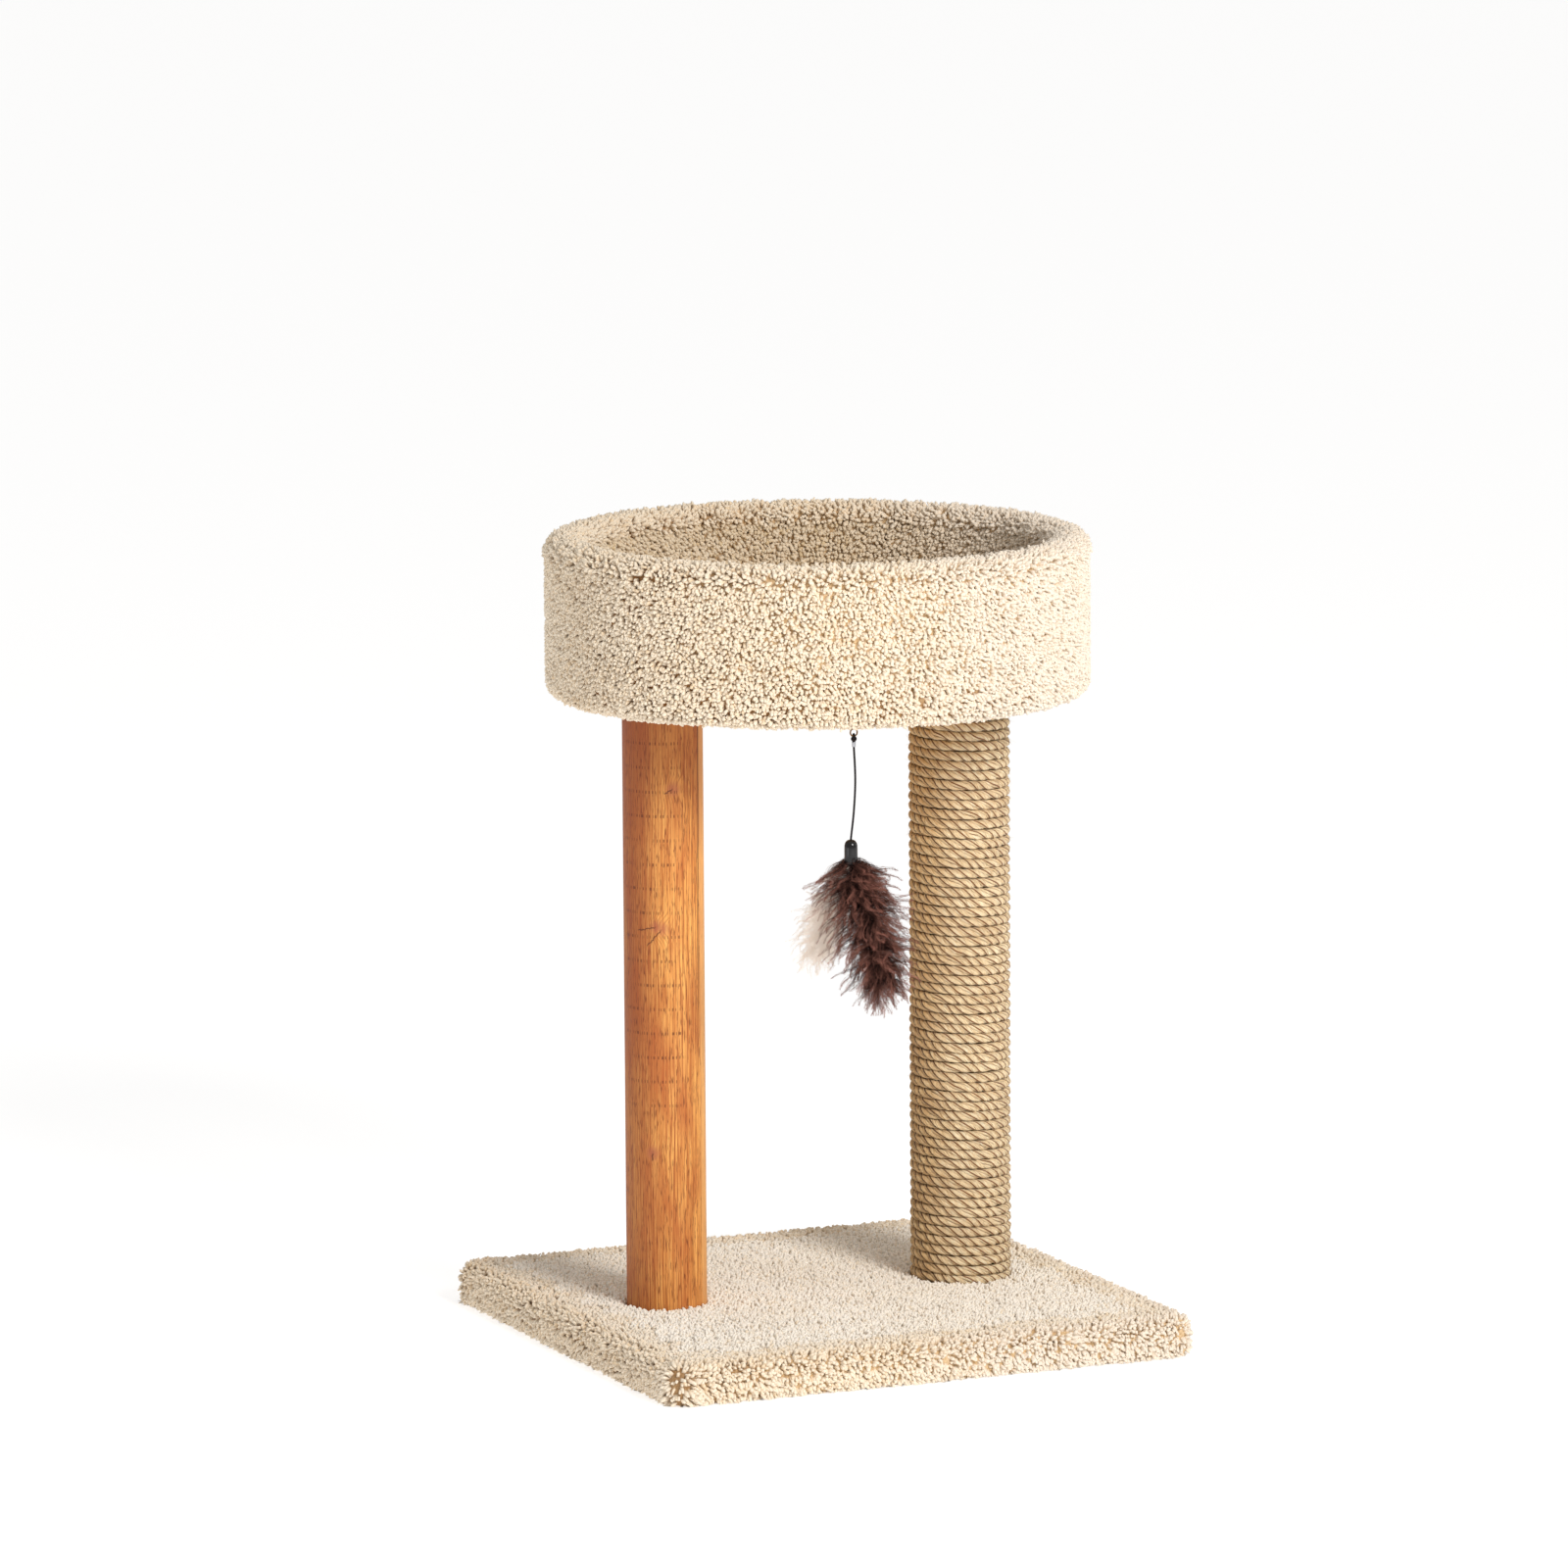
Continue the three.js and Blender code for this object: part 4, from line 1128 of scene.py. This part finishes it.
def add_toy_cord():
    reach = CORD_TOP - CORD_BOTTOM
    bow = np.array([CORD_BOW, -CORD_BOW * 0.4])
    stops = [
        (*TOY, CORD_TOP),
        (*TOY, CRIMP_BOTTOM),
        (*(TOY + bow * [0.9, 1.0]), CORD_TOP - 0.35 * reach),
        (*(TOY + CORD_DRIFT / 2 + bow), CORD_TOP - 0.65 * reach),
        (*CAP_CENTRE, CAP_TOP),
        (*CAP_CENTRE, CORD_BOTTOM),
    ]
    path = smooth_path(stops, 60)
    radii = np.full(len(path), CORD_DIAMETER / 2)
    cord = add_tube("toy_elastic", path, radii, 12, black_cord_material(), None)
    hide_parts("toy_elastic_cord")
    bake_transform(cord)
    add_toy_knot()
    add_toy_cap()


def add_toy_knot():
    """The cord's loop through the screw eye, and the knot under it, which is a trefoil."""
    turn = angles(KNOT_STEPS)
    across = np.sin(turn) + 2 * np.sin(2 * turn)
    up = np.cos(turn) - 2 * np.cos(2 * turn)
    knot = np.stack([across * 0.00062, -np.sin(3 * turn) * 0.0007, up * 0.00095], -1)
    eye = np.stack([turn * 0, 0.0016 * np.cos(turn), 0.0021 * np.sin(turn)], -1)
    knot_rings, quads = tube_rings(knot + [*TOY, KNOT_HEIGHT], np.full(KNOT_STEPS, 0.00105), 8, closed=True)
    loop_rings, _ = tube_rings(eye + [*TOY, LOOP_HEIGHT], np.full(KNOT_STEPS, 0.0007), 8, closed=True)
    points = np.stack([knot_rings, loop_rings])
    piece = add_mesh("toy_knot", points, black_cord_material(), quads, body="toy_loop")
    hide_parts("toy_cord_loop")
    return piece


def add_toy_cap():
    """The glossy black bell cap that holds the plumes, with a moulded bead round its mouth."""
    wall = CAP_RADIUS - 0.0001
    profile = [
        (0.0011, CAP_TOP),
        (wall * 0.40, CAP_TOP - 0.0002),
        (wall * 0.67, CAP_TOP - 0.0012),
        (wall * 0.87, CAP_TOP - 0.0030),
        (wall * 0.97, CAP_TOP - 0.0052),
        (wall * 0.99, CAP_TOP - 0.0080),
        (wall, CAP_BOTTOM + 0.0042),
        (wall * 0.96, CAP_BOTTOM + 0.0030),
        (wall, CAP_BOTTOM + 0.0018),
        (wall * 0.98, CAP_BOTTOM + 0.0003),
        (wall * 0.92, CAP_BOTTOM),
        (wall * 0.80, CAP_BOTTOM + 0.0004),
        (wall * 0.77, CAP_BOTTOM + 0.0120),
        (0.0010, CAP_BOTTOM + 0.0180),
    ]
    sides = 40
    angle = angles(sides)
    circle = np.column_stack([np.cos(angle), np.sin(angle)])
    rings = [
        np.column_stack([CAP_CENTRE + circle * radius, np.full(sides, height)])
        for radius, height in reversed(profile)
    ]
    points, quads = np.concatenate(rings)[None], ring_quads(len(profile), sides, closed=True)
    cap = add_mesh("toy_bell_cap", points, cap_material(), quads, body="toy_lure")
    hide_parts("toy_cap")
    return cap


def cap_material():
    plastic = Material("black_plastic", Specular_IOR_Level=0.42)
    wear = plastic.noise(plastic.place(), 900.0, 3.0)
    plastic.set("Base Color", plastic.ramp(wear, (0.3, rgb(12, 10, 11)), (0.8, rgb(28, 25, 26))))
    plastic.set("Roughness", wear.range(0.3, 0.7, 0.08, 0.16))
    return plastic.block


def feather_material(name, dark, light, wisp, glow):
    """Down: the tint layer runs from dark to light, the tip layer goes paler, and a tint of 1 is a wisp.
    Painted shade darkens the down near the quill, in the plume's core.
    glow stands for the light that comes through it."""
    down = Material(name, Roughness=0.8, Specular_IOR_Level=0.12)
    tip = down.layer("tip")
    tone = down.ramp(down.layer("tint"), (0.0, dark), (0.88, light), (0.92, wisp))
    patches = down.noise(down.place(), 170.0).range(0.35, 0.65, 0.0, 0.45)
    tone = down.mix(patches, tone, dark)
    colour = down.mix(tip.range(0.5, 1.0) * 0.4, tone, light)
    # painted shade: the down darkens towards the quill, in the plume's dense core
    colour = down.mix(tip.range(0.05, 0.75, 0.9, 0.0), colour, dark)
    down.set("Base Color", colour)
    down.set("Emission Color", colour)
    down.set("Emission Strength", glow)
    return down.block


BARB_STEPS = 11
LOCK_BARBS = 7  # barbs that cling together in each lock
LOCK_SPREAD = 0.0015
PALEST_TINT = 0.86  # of a barb that isn't a wisp
BARBULES = 30  # on each barb
BARBULE_LENGTH, BARBULE_WIDTH = 0.0038, 0.00028


def add_plume(tone, material, quill_stops, lengths, locks, width, wisps, seed):
    """A marabou plume: a quill, locks of soft barbs that leave it all round, and fine down on each barb.
    lengths are those of the barbs along the quill, and wisps is how many of the upper locks are pale."""
    name, slot = f"toy_plume_{tone}", f"{tone}_feather"
    rng = np.random.default_rng(seed)
    quill = smooth_path([toy_point(*stop) for stop in quill_stops], 80)
    tangents = unit(np.gradient(quill, axis=0))
    u = np.sort(rng.uniform(0.02, 1.0, locks))
    index = (u * (len(quill) - 1)).astype(int)
    start, down = quill[index], tangents[index]
    right = np.array([*CAMERA_RIGHT, 0.0])
    across = unit(right - down * (down @ right)[:, None])
    depth = np.cross(down, across)
    sign = rng.permutation(np.where(np.arange(locks) % 2 > 0, -1, 1))
    roll = rng.normal(0, 0.75, locks)
    fan = 1 - np.clip((u - 0.8) / 0.2, 0, 1) * rng.uniform(0, 0.9, locks)
    opening = 1.5 - 0.5 * u + rng.normal(0, 0.4, locks)
    opening = np.minimum(opening, 1.25 + 3 * u) * fan
    sideways = across * (np.cos(roll) * sign)[:, None] + depth * np.sin(roll)[:, None]
    first = down * np.cos(opening)[:, None] + sideways * np.sin(opening)[:, None]
    reach = np.interp(u, np.linspace(0, 1, len(lengths)), lengths) * rng.uniform(0.45, 1.12, locks)
    reach *= np.where(sign < 0, 1.08, 1.0)
    lines = np.empty((locks, BARB_STEPS, 3))
    lines[:, 0] = start
    phase = rng.uniform(0, 2 * math.pi, (locks, 2))
    gravity = np.array([0.0, 0.0, -1.0])
    for step in range(1, BARB_STEPS):
        share = step / (BARB_STEPS - 1)
        wavy = across * np.sin(phase[:, :1] + share * 8.0) + depth * np.sin(phase[:, 1:] + share * 7.0)
        heading = unit(first * (1 - 0.2 * share) + (down * 0.2 + gravity * 0.3) * share + wavy * 0.55)
        lines[:, step] = lines[:, step - 1] + heading * (reach / (BARB_STEPS - 1))[:, None]
    swell = np.sin(np.linspace(0.25, 0.92, BARB_STEPS) * math.pi)[None, :, None]
    offsets = rng.normal(size=(locks * LOCK_BARBS, 1, 3)) * LOCK_SPREAD * swell
    paths = np.repeat(lines, LOCK_BARBS, 0) + offsets
    lock_tint = rng.beta(0.6, 1.7, locks) * PALEST_TINT
    pale = (sign < 0) & (np.abs(roll) < 0.6) & (u < 0.35) & (rng.random(locks) < wisps)
    uneven = rng.normal(0, 0.16, locks * LOCK_BARBS)
    tint = np.clip(np.repeat(lock_tint, LOCK_BARBS) + uneven, 0, PALEST_TINT)
    tint = np.where(np.repeat(pale, LOCK_BARBS) & (rng.random(len(tint)) < 0.5), 1.0, tint)
    barbs = add_barbs(name + "_barbs", paths, width, tint, material)
    add_barbules(name + "_down", paths, tint, material, rng)
    thickness = np.linspace(0.0006, 0.00015, len(quill))
    add_tube(name + "_quill", quill, thickness, 8, material, "toy_lure")
    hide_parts(f"toy_feather_{tone}")


def add_barbs(name, paths, width, tint, material):
    count, steps = paths.shape[:2]
    tangent = unit(np.gradient(paths, axis=1))
    side = unit(np.cross(tangent, [0.2, 0.3, 1.0]))
    other = np.cross(tangent, side)
    points = np.empty((count, steps * 3, 3))
    for corner, angle in enumerate(angles(3)):
        taper = width * (1 - 0.75 * np.linspace(0, 1, steps))[None, :, None]
        points[:, corner::3] = paths + (side * math.cos(angle) + other * math.sin(angle)) * taper
    quads = ring_quads(steps, 3)
    corners = [((q % 3) / 3, (q // 3) / steps) for q in quads.ravel()]
    tip = np.repeat(np.linspace(0, 1, steps), 3)
    layers = {"tint": np.repeat(tint[:, None], steps * 3, 1), "tip": np.repeat(tip[None], count, 0)}
    return add_mesh(name, points, material, quads, (), (corners, ()), layers, "toy_lure")


def add_barbules(name, paths, tint, material, rng):
    """Fine down along the barbs: each barbule is one thin flat spike."""
    count, steps = paths.shape[:2]
    total = count * BARBULES
    share = np.tile(np.linspace(0.06, 0.98, BARBULES), count) * (steps - 1)
    barb = np.repeat(np.arange(count), BARBULES)
    low = np.minimum(share.astype(int), steps - 2)
    t = (share - low)[:, None]
    base = paths[barb, low] * (1 - t) + paths[barb, low + 1] * t
    along = unit(paths[barb, low + 1] - paths[barb, low])
    away = rng.normal(size=(total, 3))
    away = unit(away - (away * along).sum(-1, keepdims=True) * along)
    tip = share / (steps - 1)
    size = BARBULE_LENGTH * rng.uniform(0.4, 1.3, total) * (1 - 0.4 * tip)
    heading = unit(away + along * rng.uniform(0.5, 1.3, (total, 1)))
    beside = np.cross(heading, unit(rng.normal(size=(total, 3)))) * BARBULE_WIDTH / 2
    points = np.stack([base - beside, base + beside, base + heading * size[:, None]], 1)
    cells = ((), ((0, 0), (1, 0), (0.5, 1)))
    layers = {"tint": np.repeat(tint[barb][:, None], 3, 1), "tip": np.repeat(tip[:, None], 3, 1)}
    add_mesh(name, points, material, (), [(0, 1, 2)], cells, layers, "toy_lure")


def add_plumes():
    middle = CORD_DRIFT @ CAMERA_RIGHT
    brown = feather_material("brown_feather", rgb(22, 7, 6), rgb(206, 140, 122), rgb(244, 232, 222), 0.0)
    cream = feather_material(
        "cream_feather", rgb(230, 220, 210), rgb(248, 240, 232), rgb(252, 246, 240), 0.17
    )
    brown_quill = [
        (middle, 0.493, 0.0),
        (middle + 0.002, 0.474, -0.001),
        (0.003, 0.456, -0.003),
        (0.013, 0.428, -0.005),
        (0.022, 0.398, -0.006),
        (0.025, 0.384, -0.006),
    ]
    cream_quill = [
        (middle, 0.490, 0.001),
        (middle - 0.007, 0.466, 0.008),
        (-0.024, 0.438, 0.015),
        (-0.036, 0.402, 0.018),
    ]
    brown_lengths = (0.030, 0.047, 0.055, 0.055, 0.051, 0.045, 0.040)
    cream_lengths = (0.004, 0.010, 0.028, 0.036, 0.032)
    add_plume("brown", brown, brown_quill, brown_lengths, locks=740, width=0.00017, wisps=0.25, seed=71)
    add_plume("cream", cream, cream_quill, cream_lengths, locks=500, width=0.00012, wisps=0.0, seed=72)


# ------------------------------------------------------------------ the CAD parts that show as they are


def metal(name, colour, roughness):
    shine = Material(name, Metallic=1.0, Base_Color=colour)
    scratch = shine.noise(shine.place(), 1400.0, 3.0)
    shine.set("Roughness", scratch.range(0.3, 0.7, roughness, roughness + 0.15))
    shine.bump(scratch, 0.0001, 0.3)
    return shine.block


def plywood_material():
    """Layers about 3 mm thick show on the edges, and a stretched grain on the faces."""
    ply = Material("plywood", Roughness=0.7)
    place = ply.place()
    layer = ply.parts(place)[2].math("PINGPONG", 0.0031)
    grain = ply.noise(ply.scaled(place, (9.0, 160.0, 500.0)), 1.0, 4.0)
    colour = ply.ramp(grain, (0.3, rgb(200, 160, 112)), (0.7, rgb(228, 196, 150)))
    ply.set("Base Color", ply.mix(layer.range(0.0013, 0.0018, 0.0, 0.35), colour, rgb(150, 104, 62)))
    ply.bump(grain, 0.0004, 0.4)
    return ply.block


def card_material():
    card = Material("cardboard", Roughness=0.85)
    pulp = card.noise(card.place(), 300.0, 4.0, 0.6)
    card.set("Base Color", card.ramp(pulp, (0.3, rgb(150, 118, 82)), (0.7, rgb(190, 158, 118))))
    card.bump(pulp, 0.0003, 0.5)
    return card.block


def dress_cad_parts():
    finishes = {
        "steel": metal("steel", rgb(176, 178, 182), 0.28),
        "brass": metal("brass", rgb(128, 94, 60), 0.22),
        "bright_metal": metal("bright_metal", rgb(176, 176, 180), 0.25),
        "plywood": plywood_material(),
        "cardboard": card_material(),
        "black_cord": black_cord_material(),
    }
    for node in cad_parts.values():
        finish = finishes.get(node.data.materials[0].name.split(".")[0])
        if finish is not None:
            node.data.materials[0] = finish


add_camera()
add_toy_cord()
add_stage()
add_plumes()
dress_cad_parts()
add_bed_wall_carpet()
add_bed_floor_carpet()
add_base_carpet()
add_rope()
add_wood_post()
